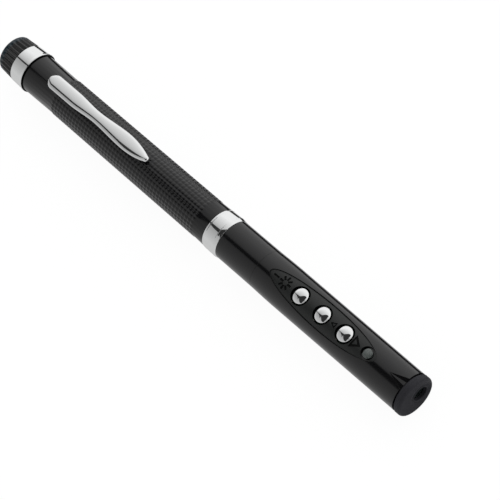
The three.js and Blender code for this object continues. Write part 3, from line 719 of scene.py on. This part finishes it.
class PRESENTER_OT_upper_barrel(Operator):
    """Upper barrel, with its texture of small raised squares"""

    bl_idname = "presenter.upper_barrel"
    bl_label = "Upper barrel"

    STEPS_PER_SQUARE = 6
    EDGE = 0.12 * MM
    CUSHION_CURVE = 2.5

    def execute(self, context):
        sizes = context.scene.presenter_sizes
        start = UPPER_BACK + sizes.weave_start
        end = MID_BACK - sizes.weave_end
        rows = round((end - start) / sizes.weave_pitch)
        fine_rows = rows * self.STEPS_PER_SQUARE
        weave = [mix_lengths(start, end, i / fine_rows) for i in range(fine_rows + 1)]
        stations = [UPPER_BACK + self.EDGE, *weave, MID_BACK - self.EDGE]
        outside = [(x, upper_radius(sizes, x)) for x in stations]
        profile = [
            (MID_BACK, sizes.bore_radius),
            (UPPER_BACK, sizes.bore_radius),
            (UPPER_BACK, upper_radius(sizes, UPPER_BACK) - self.EDGE),
            *outside,
            (MID_BACK, upper_radius(sizes, MID_BACK) - self.EDGE),
        ]
        bm = spun(profile, sizes.weave_round * self.STEPS_PER_SQUARE)
        limit = sizes.bore_radius + 2 * self.EDGE
        for vert in bm.verts:
            if from_axis(vert.co) < limit or not start - WELD < vert.co.x < end + WELD:
                continue
            along = (vert.co.x - start) / (end - start) * rows
            about = math.atan2(vert.co.y, vert.co.z - AXIS) / FULL_TURN * sizes.weave_round
            cushion = self.from_groove(along) * self.from_groove(about)
            press_in(vert, sizes.weave_depth * (1 - cushion))
        barrel = to_object("upper_barrel_textured", bm, "black_lacquer")
        dress(barrel, "pen", "black_lacquer", "upper_barrel")
        return {"FINISHED"}

    def from_groove(self, place):
        """0 in the groove between two squares, rising in a curve to 1 in the square's middle."""
        return 1 - (1 - 2 * abs(place - round(place))) ** self.CUSHION_CURVE


class PRESENTER_OT_lower_sleeve(Operator):
    """Gloss sleeve from the middle ring to the seam"""

    bl_idname = "presenter.lower_sleeve"
    bl_label = "Lower sleeve"

    STATIONS = 8
    EDGE = 0.07 * MM

    def execute(self, context):
        sizes = context.scene.presenter_sizes
        outside = []
        for i in range(self.STATIONS + 1):
            x = mix_lengths(SLEEVE_BACK + self.EDGE, HOUSING_BACK - self.EDGE, i / self.STATIONS)
            outside.append((x, lower_radius(sizes, x)))
        profile = [
            (HOUSING_BACK, sizes.bore_radius),
            (SLEEVE_BACK, sizes.bore_radius),
            (SLEEVE_BACK, outside[0][1] - self.EDGE),
            *outside,
            (HOUSING_BACK, outside[-1][1] - self.EDGE),
        ]
        sleeve = to_object("lower_sleeve_gloss", spun(profile), "black_gloss")
        dress(sleeve, "pen", "black_gloss", "lower_sleeve")
        return {"FINISHED"}


# Front housing and panel

LAMP_X = middle("led_lens").x
PANEL_TAIL = span("keypad_panel")[0]
SWELL_STEPS = 12


def leaf_outline(sizes, margin):
    """Outline of the panel: half an ellipse towards the tail and a shorter one towards the nose."""
    outline = []
    for i in range(ROUND_STEPS):
        turn = FULL_TURN * i / ROUND_STEPS
        reach = sizes.panel_tail_length if math.cos(turn) < 0 else sizes.panel_nose_length
        x = PANEL_TAIL + sizes.panel_tail_length + (reach + margin) * math.cos(turn)
        outline.append((x, (sizes.panel_half_width + margin) * math.sin(turn)))
    return outline


def lower_profile(sizes, depth, start, end):
    """The lower barrel's outside between two stations, moved in by a depth."""
    swell = HOUSING_BACK + sizes.swell_away
    stations = [mix_lengths(start, swell, i / SWELL_STEPS) for i in range(SWELL_STEPS)]
    stations += [mix_lengths(swell, end, i / SWELL_STEPS) for i in range(SWELL_STEPS + 1)]
    return [(x, lower_radius(sizes, x) - depth) for x in stations]


class PRESENTER_OT_front_housing(Operator):
    """Gloss front housing with the panel's pocket and the dart behind the nose cap"""

    bl_idname = "presenter.front_housing"
    bl_label = "Front housing"

    EDGE = 0.07 * MM
    BORE_STEP = 0.3 * MM
    POCKET_GAP = 0.1 * MM
    SEAM_MARGIN = 1 * MM
    NOSE_MARGIN = 0.2 * MM
    # The dart's wedge runs on past the nose cap. Its facets meet at these shares of its half width
    DART_OVERRUN = 1.3
    DART_FACETS = (0.4, -0.1, -0.7)
    DART_HEADROOM = 5

    def execute(self, context):
        sizes = context.scene.presenter_sizes
        start, end = HOUSING_BACK + self.EDGE, NOSE_BACK - self.EDGE
        outside = lower_profile(sizes, 0, start, end)
        bore = sizes.bore_radius - self.BORE_STEP
        profile = [
            (NOSE_BACK, bore),
            (HOUSING_BACK, bore),
            (HOUSING_BACK, outside[0][1] - self.EDGE),
            *outside,
            (NOSE_BACK, outside[-1][1] - self.EDGE),
        ]
        housing = to_object("front_housing_gloss", spun(profile), "black_gloss")
        top = AXIS + 2 * sizes.swell_radius
        low = AXIS + sizes.panel_underside
        pocket = prism(leaf_outline(sizes, self.POCKET_GAP), low, top)
        carve(housing, to_object("pocket", pocket, "black_gloss"))
        carve(housing, self.dart(sizes))
        reshade(housing, sizes.rim_bevel, lambda edge: self.on_rim(sizes, edge), 1)
        dress(housing, "pen", "black_gloss", "front_housing")
        return {"FINISHED"}

    def dart(self, sizes):
        """Wedge that deepens and widens towards the nose, with three facets for its floor."""
        apex = NOSE_BACK - sizes.dart_length
        surface = AXIS + lower_radius(sizes, apex)
        reach = sizes.dart_length * self.DART_OVERRUN
        spread = sizes.dart_half_width * self.DART_OVERRUN
        tilt = math.tan(sizes.dart_tilt)
        rim = surface - sizes.dart_depth * self.DART_OVERRUN
        far, near, edge = (share * spread for share in self.DART_FACETS)
        foot = rim - tilt * (spread - far)
        ridge = foot + tilt * (far - near) / 2
        floor = [(spread, rim), (far, foot), (near, ridge), (edge, ridge - tilt * (near - edge))]
        bm = bmesh.new()
        tip = bm.verts.new((apex, 0, surface))
        end = [bm.verts.new((apex + reach, y, z)) for y, z in floor]
        faces = [bm.faces.new((tip, *pair)) for pair in zip(end, end[1:])]
        raise_faces(bm, faces, self.DART_HEADROOM * sizes.dart_depth)
        return to_object("dart", bm, "black_gloss")

    def on_rim(self, sizes, edge):
        """True for an edge of a cut that lies in the barrel's outside."""
        for vert in edge.verts:
            away = abs(from_axis(vert.co) - lower_radius(sizes, vert.co.x))
            if away > ON_SURFACE or vert.co.x > NOSE_BACK - self.NOSE_MARGIN:
                return False
        return edge.verts[0].co.x > HOUSING_BACK + self.SEAM_MARGIN


class PRESENTER_OT_keypad_panel(Operator):
    """Leaf-shaped panel with the button wells, the lamp's bezel and engraved symbols"""

    bl_idname = "presenter.keypad_panel"
    bl_label = "Keypad panel"

    RAYS = 8
    RAY_INNER = 0.8 * MM
    RAY_OUTER = 2.1 * MM
    RAY_WIDTH = 0.62 * MM
    BURST_AWAY = 6.0 * MM
    DASH_AWAY = 1.45 * MM
    DASH_LENGTH = 2.1 * MM
    DASH_WIDTH = 0.55 * MM
    STROKE_SHARE = 0.55
    STROKE_FLOOR = 1 * MM
    BACK_ARROW_LENGTH = 1.9 * MM
    BACK_ARROW_HALF = 1.0 * MM
    FRONT_ARROW_AWAY = 0.2 * MM
    FRONT_ARROW_LENGTH = 3.1 * MM
    FRONT_ARROW_HALF = 2.1 * MM
    BEZEL_DEPTH = 1.0 * MM
    LEAF_MARGIN = 0.12 * MM
    WELL_BEVEL = 0.08 * MM

    def execute(self, context):
        sizes = context.scene.presenter_sizes
        low, top = AXIS + sizes.panel_underside, AXIS + sizes.swell_radius
        leaf = prism(leaf_outline(sizes, self.LEAF_MARGIN), low, top)
        panel = to_object("keypad_panel_leaf", leaf, "panel_black")
        carve(panel, self.core(sizes, sizes.panel_recess, "panel_black"), "INTERSECT")
        for node in BUTTONS:
            carve(panel, self.drill("well", middle(node).x, sizes.well_radius, low - OVERRUN, top))
        floor = AXIS + lower_radius(sizes, LAMP_X) - sizes.panel_recess - self.BEZEL_DEPTH
        carve(panel, self.drill("bezel", LAMP_X, sizes.bezel_radius, floor, top))
        for cutter in self.symbols(sizes, top):
            carve(cutter, self.core(sizes, sizes.panel_recess + sizes.engraving_depth, "engraving_ink"))
            carve(panel, cutter)
        reshade(panel, self.WELL_BEVEL, lambda edge: self.round_a_well(sizes, edge))
        dress(panel, "pen", "black_gloss", "keypad_panel")
        return {"FINISHED"}

    @staticmethod
    def drill(name, x, radius, low, top):
        profile = [(0, low), (radius, low), (radius, top), (0, top)]
        return to_object(name, spun_upright(profile, x), "black_gloss")

    @staticmethod
    def core(sizes, depth, slot):
        """The housing's inside below a depth."""
        profile = lower_profile(sizes, depth, HOUSING_BACK, NOSE_BACK)
        ends = [(HOUSING_BACK, 0), *profile, (NOSE_BACK, 0)]
        return to_object("core", spun(ends, closed=False), slot)

    def symbols(self, sizes, top):
        """Cutters for a burst with its dash and for two arrows."""
        low = AXIS + sizes.panel_underside + self.STROKE_FLOOR
        outlines = []
        burst = PANEL_TAIL + self.BURST_AWAY
        ray = self.bar(self.RAY_INNER, self.RAY_OUTER, self.RAY_WIDTH)
        for i in range(self.RAYS):
            turn = Matrix.Rotation(FULL_TURN * i / self.RAYS, 2)
            turned = [turn @ Vector(point) for point in ray]
            outlines.append([(burst + point.x, point.y) for point in turned])
        dash = PANEL_TAIL + self.DASH_AWAY
        outlines.append(self.bar(dash, dash + self.DASH_LENGTH, self.DASH_WIDTH))
        strokes = [to_object("stroke", prism(outline, low, top), "engraving_ink") for outline in outlines]
        gap = (middle(BUTTONS[1]).x + middle(BUTTONS[2]).x) / 2
        base = gap + self.BACK_ARROW_LENGTH / 2
        back_arrow = self.arrow(base, -self.BACK_ARROW_LENGTH, self.BACK_ARROW_HALF, low, top)
        base = middle(BUTTONS[2]).x + sizes.well_radius + self.FRONT_ARROW_AWAY
        front_arrow = self.arrow(base, self.FRONT_ARROW_LENGTH, self.FRONT_ARROW_HALF, low, top)
        return *strokes, back_arrow, front_arrow

    @staticmethod
    def bar(start, end, width):
        half = width / 2
        return [(start, -half), (end, -half), (end, half), (start, half)]

    def arrow(self, base, reach, half, low, top):
        """An outlined triangle whose tip lies at base plus reach."""
        corners = [Vector((base, -half)), Vector((base, half)), Vector((base + reach, 0))]
        centre = sum(corners, Vector((0, 0))) / 3
        inner = [mix_lengths(corner, centre, self.STROKE_SHARE) for corner in corners]
        outside = to_object("arrow", prism(corners, low, top), "engraving_ink")
        carve(outside, to_object("arrow_inside", prism(inner, low - OVERRUN, top + OVERRUN), "engraving_ink"))
        return outside

    @staticmethod
    def round_a_well(sizes, edge):
        """True for the upper edges of the wells and of the bezel."""
        places = [(middle(node).x, sizes.well_radius) for node in BUTTONS] + [(LAMP_X, sizes.bezel_radius)]
        for vert in edge.verts:
            near = min(abs(math.hypot(vert.co.x - x, vert.co.y) - radius) for x, radius in places)
            surface = lower_radius(sizes, vert.co.x) - sizes.panel_recess
            if near > ON_SURFACE or abs(from_axis(vert.co) - surface) > ON_SURFACE:
                return False
        return True


# Buttons, lamp and nose


class PRESENTER_OT_buttons(Operator):
    """Chrome dome buttons"""

    bl_idname = "presenter.buttons"
    bl_label = "Buttons"

    DOME_STEPS = 24
    SHOULDER_STEPS = 4
    EDGE = 0.3 * MM

    def execute(self, context):
        sizes = context.scene.presenter_sizes
        radius, height = sizes.button_dome_radius, sizes.button_dome_height
        for node in BUTTONS:
            low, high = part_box(node)
            crown = dome(radius, height, high.z, self.DOME_STEPS)
            shoulder = crown[self.SHOULDER_STEPS]
            side = round_corners([(0, low.z), (radius, low.z), crown[0], shoulder], self.EDGE)
            profile = [*side, *crown[self.SHOULDER_STEPS + 1 :]]
            button = to_object(f"{node}_dome", spun_upright(profile, middle(node).x), "chrome")
            dress(button, node, "chrome", node)
        return {"FINISHED"}


class PRESENTER_OT_lamp(Operator):
    """Frosted light pipe at the nose end of the panel"""

    bl_idname = "presenter.lamp"
    bl_label = "Lamp"

    CROWN_STEPS = 10
    CROWN_HEIGHT = 0.32 * MM
    CLEARANCE = 0.08 * MM

    def execute(self, context):
        low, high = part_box("led_lens")
        radius = (high.x - low.x) / 2 - self.CLEARANCE
        crown = dome(radius, self.CROWN_HEIGHT, high.z, self.CROWN_STEPS)
        profile = [(0, low.z), (radius, low.z), *crown]
        lens = to_object("lamp_lens_frosted", spun_upright(profile, LAMP_X), "smoked_clear")
        dress(lens, "pen", "smoked_clear", "led_lens")
        return {"FINISHED"}


class PRESENTER_OT_nose_cap(Operator):
    """Nose cap with its fillet, lip and off-centre aperture"""

    bl_idname = "presenter.nose_cap"
    bl_label = "Nose cap"

    FILLET_STEPS = 10
    PLUG_STEP = 0.35 * MM
    SEAT_GAP = 0.1 * MM
    SHELF_GAP = 0.05 * MM
    COLLAR_SLOPE = 5

    def execute(self, context):
        sizes = context.scene.presenter_sizes
        radius = radius_of("nose_cap")
        fillet = sizes.nose_fillet
        back = span("nose_cap")[0]
        plug = sizes.bore_radius - self.PLUG_STEP
        gap_floor = radius - sizes.nose_gap_depth
        gap_end = NOSE_BACK + sizes.nose_gap
        rim = [
            (NOSE_END - fillet * (1 - math.sin(turn)), radius - fillet * (1 - math.cos(turn)))
            for turn in quarter_turn(self.FILLET_STEPS)
        ]
        profile = [
            (back, 0),
            (back, plug),
            (NOSE_BACK, plug),
            (NOSE_BACK, gap_floor),
            (gap_end, gap_floor),
            (gap_end, radius - sizes.nose_lip),
            (gap_end + sizes.nose_lip, radius),
            *rim,
            (NOSE_END, 0),
        ]
        cap = to_object("nose_cap_satin", spun(profile, closed=False), "black_plastic")
        beam = middle("aperture_window")
        low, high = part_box("aperture_window")
        seat = (high.y - low.y) / 2 + self.SEAT_GAP
        shelf = high.x + self.SHELF_GAP
        hole, chamfer = sizes.aperture_radius, sizes.aperture_chamfer
        cutter = [
            (back - OVERRUN, 0),
            (back - OVERRUN, seat),
            (shelf, seat),
            (shelf, hole),
            (NOSE_END - chamfer, hole),
            (NOSE_END + chamfer, hole + 2 * chamfer),
            (NOSE_END + chamfer, 0),
        ]
        bm = spun(cutter, SMALL_ROUND_STEPS, beam.y, beam.z, closed=False)
        carve(cap, to_object("aperture", bm, "black_plastic"))
        collar = hole + chamfer
        slope_end = collar + self.COLLAR_SLOPE * sizes.collar_height
        groove = [
            (NOSE_END + chamfer, collar - chamfer),
            (NOSE_END - sizes.collar_height, collar + sizes.collar_height),
            (NOSE_END, slope_end),
            (NOSE_END + chamfer, slope_end),
        ]
        bm = spun(groove, SMALL_ROUND_STEPS, beam.y, beam.z)
        carve(cap, to_object("groove", bm, "black_plastic"))
        reshade(cap)
        dress(cap, "pen", "black_plastic", "nose_cap")
        return {"FINISHED"}


# Clip


class PRESENTER_OT_clip(Operator):
    """Chrome spring clip: a waisted, domed leaf with a foot at its root"""

    bl_idname = "presenter.clip"
    bl_label = "Clip"

    SHOULDER_AWAY = 11 * MM
    NECK_AWAY = 21 * MM
    BULGE_AWAY = 34 * MM
    DIP_AWAY = 41.6 * MM
    DIP_LENGTH = 9 * MM
    DIP_GAP = 0.2 * MM
    TIP_GAP = 0.55 * MM
    LIFT = 0.95 * MM
    SECTIONS = 110
    # How far the first and last sections stay off the ends, as a share of a step
    END_SHARE = 0.35
    CROWN_STEPS = 14
    CROWN_CURVE = 0.8
    LARGEST_RISE = 0.8
    TIP_THICKNESS = 0.35
    FOOT_INSET = 0.15 * MM
    FOOT_LENGTH = 5.4 * MM
    FOOT_DROP = 0.3 * MM
    FOOT_STEPS = 24

    def half_width(self, sizes, away, full):
        root, neck = sizes.clip_root_half_width, sizes.clip_neck_half_width
        bulge, tip = sizes.clip_bulge_half_width, sizes.clip_tip_radius
        if away < root:
            return math.sqrt(max(0.0, root**2 - (root - away) ** 2))
        if away < self.SHOULDER_AWAY:
            return root
        if away < self.NECK_AWAY:
            return ease(root, neck, (away - self.SHOULDER_AWAY) / (self.NECK_AWAY - self.SHOULDER_AWAY))
        if away < self.BULGE_AWAY:
            return ease(neck, bulge, (away - self.NECK_AWAY) / (self.BULGE_AWAY - self.NECK_AWAY))
        if away > full - tip:
            return math.sqrt(max(0.0, tip**2 - (away - full + tip) ** 2))
        return mix_lengths(bulge, tip, ((away - self.BULGE_AWAY) / (full - tip - self.BULGE_AWAY)) ** 2)

    def gap(self, away, full):
        if away < self.DIP_AWAY:
            return ease(self.LIFT, self.DIP_GAP, (away - self.DIP_AWAY) / self.DIP_LENGTH + 1)
        return ease(self.DIP_GAP, self.TIP_GAP, (away - self.DIP_AWAY) / (full - self.DIP_AWAY))

    def execute(self, context):
        sizes = context.scene.presenter_sizes
        start, end = span("clip")
        full = end - start
        bm = bmesh.new()
        previous = None
        for i in range(self.SECTIONS + 1):
            turn = math.pi * (i + self.END_SHARE) / (self.SECTIONS + 2 * self.END_SHARE)
            away = full * ((1 - math.cos(turn)) / 2)
            x = start + away
            under = AXIS + upper_radius(sizes, x) + self.gap(away, full)
            half = self.half_width(sizes, away, full)
            soften = min(1.0, half / sizes.clip_tip_radius)
            thickness = sizes.clip_thickness * mix_lengths(self.TIP_THICKNESS, 1.0, soften)
            section = self.section(sizes, half, thickness)
            lean = (away - self.SHOULDER_AWAY) / (self.BULGE_AWAY - self.SHOULDER_AWAY)
            aside = ease(0, sizes.clip_lean, lean)
            verts = [bm.verts.new((x, y + aside, under + up)) for y, up in section]
            edges = [bm.edges.new((verts[k - 1], verts[k])) for k in range(len(verts))]
            if previous:
                bmesh.ops.bridge_loops(bm, edges=previous + edges)
            else:
                bm.faces.new(verts)
            previous = edges
        bm.faces.new(verts)
        bmesh.ops.recalc_face_normals(bm, faces=bm.faces)
        self.turn(sizes, bm)
        clip = to_object("clip_chrome", bm, "chrome")
        dress(clip, "clip", "chrome", "clip")
        self.foot(sizes, start)
        return {"FINISHED"}

    def section(self, sizes, half, thickness):
        """A section across the clip: upright sides under the upper half of an ellipse."""
        rise = min(sizes.clip_crown_height, thickness * self.LARGEST_RISE)
        right = [(half, 0)]
        for i in range(self.CROWN_STEPS):
            turn = math.pi / 2 * (i / self.CROWN_STEPS) ** self.CROWN_CURVE
            right.append((half * math.cos(turn), thickness - rise + rise * math.sin(turn)))
        return [*right, (0, thickness), *[(-y, up) for y, up in reversed(right)]]

    @staticmethod
    def turn(sizes, bm):
        matrix = Matrix.Rotation(-sizes.clip_turn, 3, "X")
        bmesh.ops.rotate(bm, cent=(0, 0, AXIS), matrix=matrix, verts=bm.verts)

    def foot(self, sizes, start):
        """Block under the clip's root, with the peg that enters the barrel."""
        reach = sizes.clip_root_half_width - self.FOOT_INSET
        centre = start + sizes.clip_root_half_width
        outline = []
        for i in range(self.FOOT_STEPS + 1):
            turn = math.pi * (0.5 + i / self.FOOT_STEPS)
            outline.append((centre + reach * math.cos(turn), reach * math.sin(turn)))
        outline.extend([(start + self.FOOT_LENGTH, -reach), (start + self.FOOT_LENGTH, reach)])
        low = AXIS + sizes.upper_back_radius + self.FOOT_DROP
        bm = prism(outline, low, low + self.LIFT)
        self.turn(sizes, bm)
        dress(to_object("clip_foot", bm, "chrome"), "clip", "chrome")


# Inner parts and stage


class PRESENTER_OT_inner_parts(Operator):
    """Gives every solid that stays its own finish"""

    bl_idname = "presenter.inner_parts"
    bl_label = "Inner parts"

    def execute(self, context):
        slots = {row["node"]: row["material_slot"] for row in frame["record"]["subparts"]}
        for name, node in frame["nodes"].items():
            node.data.materials.clear()
            node.data.materials.append(finish(slots[name]))
        return {"FINISHED"}


class PRESENTER_OT_stage(Operator):
    """Floor, light and camera"""

    bl_idname = "presenter.stage"
    bl_label = "Stage"

    # The camera, from the photograph: a long lens that looks down at the pen from its nose side
    LENS = 194.4
    SENSOR = 36.0
    SIGHT = (0.01, 10)
    DISTANCE = 0.771
    TOWARDS_CAMERA = Vector((0.469, -0.088, 0.879))
    AIMED_X = 18.9 * MM
    ROLL = math.radians(40.67)
    IMAGE_SIZE = 500
    AIMED_PIXEL = (248.3, 253.9)

    # The light: degrees round the pen from straight up towards +Y, and the strength there
    LIGHT_ROUND = (
        (-95, 0.66),
        (-25, 0.4),
        (-8, 0.42),
        (10, 0.62),
        (60, 1.0),
        (105, 1.0),
    )
    # The dark gap overhead, narrow towards the tail and wide about the camera
    GAP_MIDDLE = math.radians(-10.7)
    GAP_NARROW = math.radians(4.5)
    GAP_WIDE = math.radians(47)
    GAP_OPENS = (math.radians(-22), math.radians(28))
    GAP_CLOSES = (math.radians(36), math.radians(46))
    GAP_EDGE = math.radians(1.5)
    GAP_STRENGTH = 0.03

    # The floor's painted light and shade in reflections: millimetres from the pen towards +Y, and the
    # strength there. A painted shadow lies under the pen, a painted dark strip beside it on the +Y side, and
    # it is dimmer towards -Y
    PAINTED_SHADE_ON_FLOOR = (
        (-14, 0.65),
        (-8, 0.6),
        (-5, 0.25),
        (5, 0.25),
        (7, 0.9),
        (12, 0.9),
        (14, 0.03),
        (25, 0.03),
        (27, 1.0),
    )
    FLOOR_SPAN = 60
    FLOOR_REACH = 3.0
    FLOOR_DROP = 0.02 * MM
    FLOOR_WHITE = (0.8, 0.8, 0.8, 1)
    # What the camera sees of the floor: a little of its own shade, for the shadow, and a glow
    SHADOW_WHITE = (0.12, 0.12, 0.12, 1)
    FLOOR_GLOW = 0.95

    # The dark card over the pen, wider towards the nose: x, and y of its two edges
    CARD_HEIGHT = 0.3
    CARD_STATIONS = (
        (-0.31, -0.076, -0.024),
        (-0.24, -0.09, -0.024),
        (-0.2, -0.11, -0.032),
        (-0.15, -0.118, -0.024),
        (-0.1, -0.135, -0.02),
        (-0.065, -0.19, -0.022),
        (-0.02, -0.2, -0.01),
    )

    def execute(self, context):
        scene = context.scene
        scene.view_settings.view_transform = "Standard"
        self.camera(scene)
        self.floor()
        self.world(scene)
        self.card()
        return {"FINISHED"}

    def camera(self, scene):
        back = self.TOWARDS_CAMERA.normalized()
        along = (Vector((1, 0, 0)) - back * back.x).normalized()
        across = back.cross(along)
        right = along * math.cos(self.ROLL) + across * math.sin(self.ROLL)
        up = across * math.cos(self.ROLL) - along * math.sin(self.ROLL)
        target = Vector((self.AIMED_X, 0, AXIS))
        place = target + back * self.DISTANCE
        pixel = self.SENSOR / self.LENS / self.IMAGE_SIZE * self.DISTANCE
        centre = self.IMAGE_SIZE / 2
        aimed_right, aimed_down = self.AIMED_PIXEL
        aim = target + right * (centre - aimed_right) * pixel + up * (aimed_down - centre) * pixel
        view_back = (place - aim).normalized()
        view_right = up.cross(view_back).normalized()
        view_up = view_back.cross(view_right)
        data = bpy.data.cameras.new("photo_camera")
        data.lens, data.sensor_width = self.LENS, self.SENSOR
        data.clip_start, data.clip_end = self.SIGHT
        camera = bpy.data.objects.new("photo_camera", data)
        turned = Matrix((view_right, view_up, view_back)).transposed().to_4x4()
        camera.matrix_world = Matrix.Translation(place) @ turned
        scene.collection.objects.link(camera)
        scene.camera = camera

    def floor(self):
        """White floor, just below the pen, that keeps a faint shadow. In reflections it shows painted shade:
        a painted shadow under the pen and a painted dark strip beside it.
        """
        material, tree = new_material("white_sweep")
        path = add_node(tree, "LightPath").outputs
        paint = add_node(tree, "BsdfDiffuse", {"Color": self.FLOOR_WHITE})
        faint = add_node(tree, "BsdfDiffuse", {"Color": self.SHADOW_WHITE})
        glow = add_node(tree, "Emission", {"Color": (1, 1, 1, 1), "Strength": self.FLOOR_GLOW})
        shown = add_node(tree, "AddShader", (faint, glow))
        place = add_node(tree, "TexCoord").outputs["Object"]
        across = add_node(tree, "SeparateXYZ", [place]).outputs[1]
        scaled = (across, 1 / (self.FLOOR_SPAN * MM), 0.5)
        ramp = add_node(tree, "ValToRGB", [add_node(tree, "Math", scaled, operation="MULTIPLY_ADD")])
        self.grade(ramp, [(mm / self.FLOOR_SPAN + 0.5, strength) for mm, strength in self.PAINTED_SHADE_ON_FLOOR])
        # Painted shade: what glossy and transmitted rays see of the floor
        reflected_painted_shade = add_node(tree, "Emission", {"Strength": ramp})
        rays = (path["Is Glossy Ray"], path["Is Transmission Ray"])
        glossy = add_node(tree, "Math", rays, operation="MAXIMUM")
        mixed = add_node(tree, "MixShader", (path["Is Camera Ray"], paint, shown))
        mixed = add_node(tree, "MixShader", (glossy, mixed, reflected_painted_shade))
        add_node(tree, "OutputMaterial", {"Surface": mixed})
        bm = bmesh.new()
        bmesh.ops.create_grid(bm, x_segments=1, y_segments=1, size=self.FLOOR_REACH)
        floor = new_object("floor", bm, material)
        floor.location.z = cad_low.z - self.FLOOR_DROP

    @staticmethod
    def grade(ramp, stops):
        """Sets a ramp's stops, each a position and a strength."""
        elements = ramp.color_ramp.elements
        while len(elements) < len(stops):
            elements.new(1.0)
        for element, (position, strength) in zip(elements, stops):
            element.position = position
            element.color = (strength, strength, strength, 1)

    def card(self):
        """Dark card over the pen, seen only in reflections."""
        material, tree = new_material("black_card")
        dim = add_node(tree, "Emission", {"Color": (1, 1, 1, 1), "Strength": self.GAP_STRENGTH})
        add_node(tree, "OutputMaterial", {"Surface": dim})
        bm = bmesh.new()
        pairs = []
        for x, *edges in self.CARD_STATIONS:
            pairs.append([bm.verts.new((x, y, self.CARD_HEIGHT)) for y in edges])
        for (low, high), (next_low, next_high) in zip(pairs, pairs[1:]):
            bm.faces.new((low, high, next_high, next_low))
        card = new_object("dark_card", bm, material)
        card.visible_camera = False
        card.visible_diffuse = False
        card.visible_shadow = False

    def world(self, scene):
        """Soft light all round, brighter on the +Y side, with a dark gap overhead."""
        world = bpy.data.worlds.new("soft_light")
        scene.world = world
        world.use_nodes = True
        tree = world.node_tree
        tree.nodes.clear()
        direction = add_node(tree, "TexCoord").outputs["Generated"]
        along, across, up = add_node(tree, "SeparateXYZ", [direction]).outputs
        tilt = add_node(tree, "Math", [along], operation="ARCSINE")
        about = add_node(tree, "Math", (across, up), operation="ARCTAN2")
        place = add_node(tree, "Math", (about, 1 / FULL_TURN, 0.5), operation="MULTIPLY_ADD")
        ramp = add_node(tree, "ValToRGB", [place])
        self.grade(ramp, [(turn / 360 + 0.5, strength) for turn, strength in self.LIGHT_ROUND])
        smooth = {"interpolation_type": "SMOOTHSTEP"}
        opening = (tilt, *self.GAP_OPENS, self.GAP_NARROW, self.GAP_WIDE)
        opened = add_node(tree, "MapRange", opening, **smooth)
        closed = add_node(tree, "MapRange", (tilt, *self.GAP_CLOSES, 1.0, 0.0), **smooth)
        half = add_node(tree, "Math", (opened, closed), operation="MULTIPLY")
        aside = add_node(tree, "Math", (about, self.GAP_MIDDLE), operation="SUBTRACT")
        away = add_node(tree, "Math", [aside], operation="ABSOLUTE")
        past = add_node(tree, "Math", (away, half), operation="SUBTRACT")
        lit = add_node(tree, "MapRange", (past, -self.GAP_EDGE, self.GAP_EDGE, 0.0, 1.0), **smooth)
        strength = add_node(tree, "Mix", {0: lit, 2: self.GAP_STRENGTH, 3: ramp})
        seen = add_node(tree, "LightPath").outputs["Is Camera Ray"]
        shown = add_node(tree, "Mix", {0: seen, 2: strength, 3: 1.0})
        light = add_node(tree, "Background", {"Color": (1, 1, 1, 1), "Strength": shown})
        add_node(tree, "OutputWorld", {"Surface": light})


OPERATORS = (
    PRESENTER_OT_stage,
    PRESENTER_OT_inner_parts,
    PRESENTER_OT_tail_cap,
    PRESENTER_OT_rings,
    PRESENTER_OT_upper_barrel,
    PRESENTER_OT_clip,
    PRESENTER_OT_lower_sleeve,
    PRESENTER_OT_front_housing,
    PRESENTER_OT_keypad_panel,
    PRESENTER_OT_buttons,
    PRESENTER_OT_lamp,
    PRESENTER_OT_nose_cap,
)


class PRESENTER_PT_pieces(Panel):
    """Lists the pieces that can be made"""

    bl_label = "Presenter"
    bl_space_type = "VIEW_3D"
    bl_region_type = "UI"
    bl_category = "Presenter"

    def draw(self, context):
        for operator in OPERATORS:
            self.layout.operator(operator.bl_idname)


CLASSES = (PresenterSizes, PresenterColours, *OPERATORS, PRESENTER_PT_pieces)


def register():
    for made in CLASSES:
        bpy.utils.register_class(made)
    bpy.types.Scene.presenter_sizes = PointerProperty(type=PresenterSizes)
    bpy.types.Scene.presenter_colours = PointerProperty(type=PresenterColours)


def unregister():
    del bpy.types.Scene.presenter_colours
    del bpy.types.Scene.presenter_sizes
    for made in reversed(CLASSES):
        bpy.utils.unregister_class(made)


def main():
    register()
    for operator in OPERATORS:
        group, name = operator.bl_idname.split(".")
        getattr(getattr(bpy.ops, group), name)()


if __name__ == "__main__":
    main()
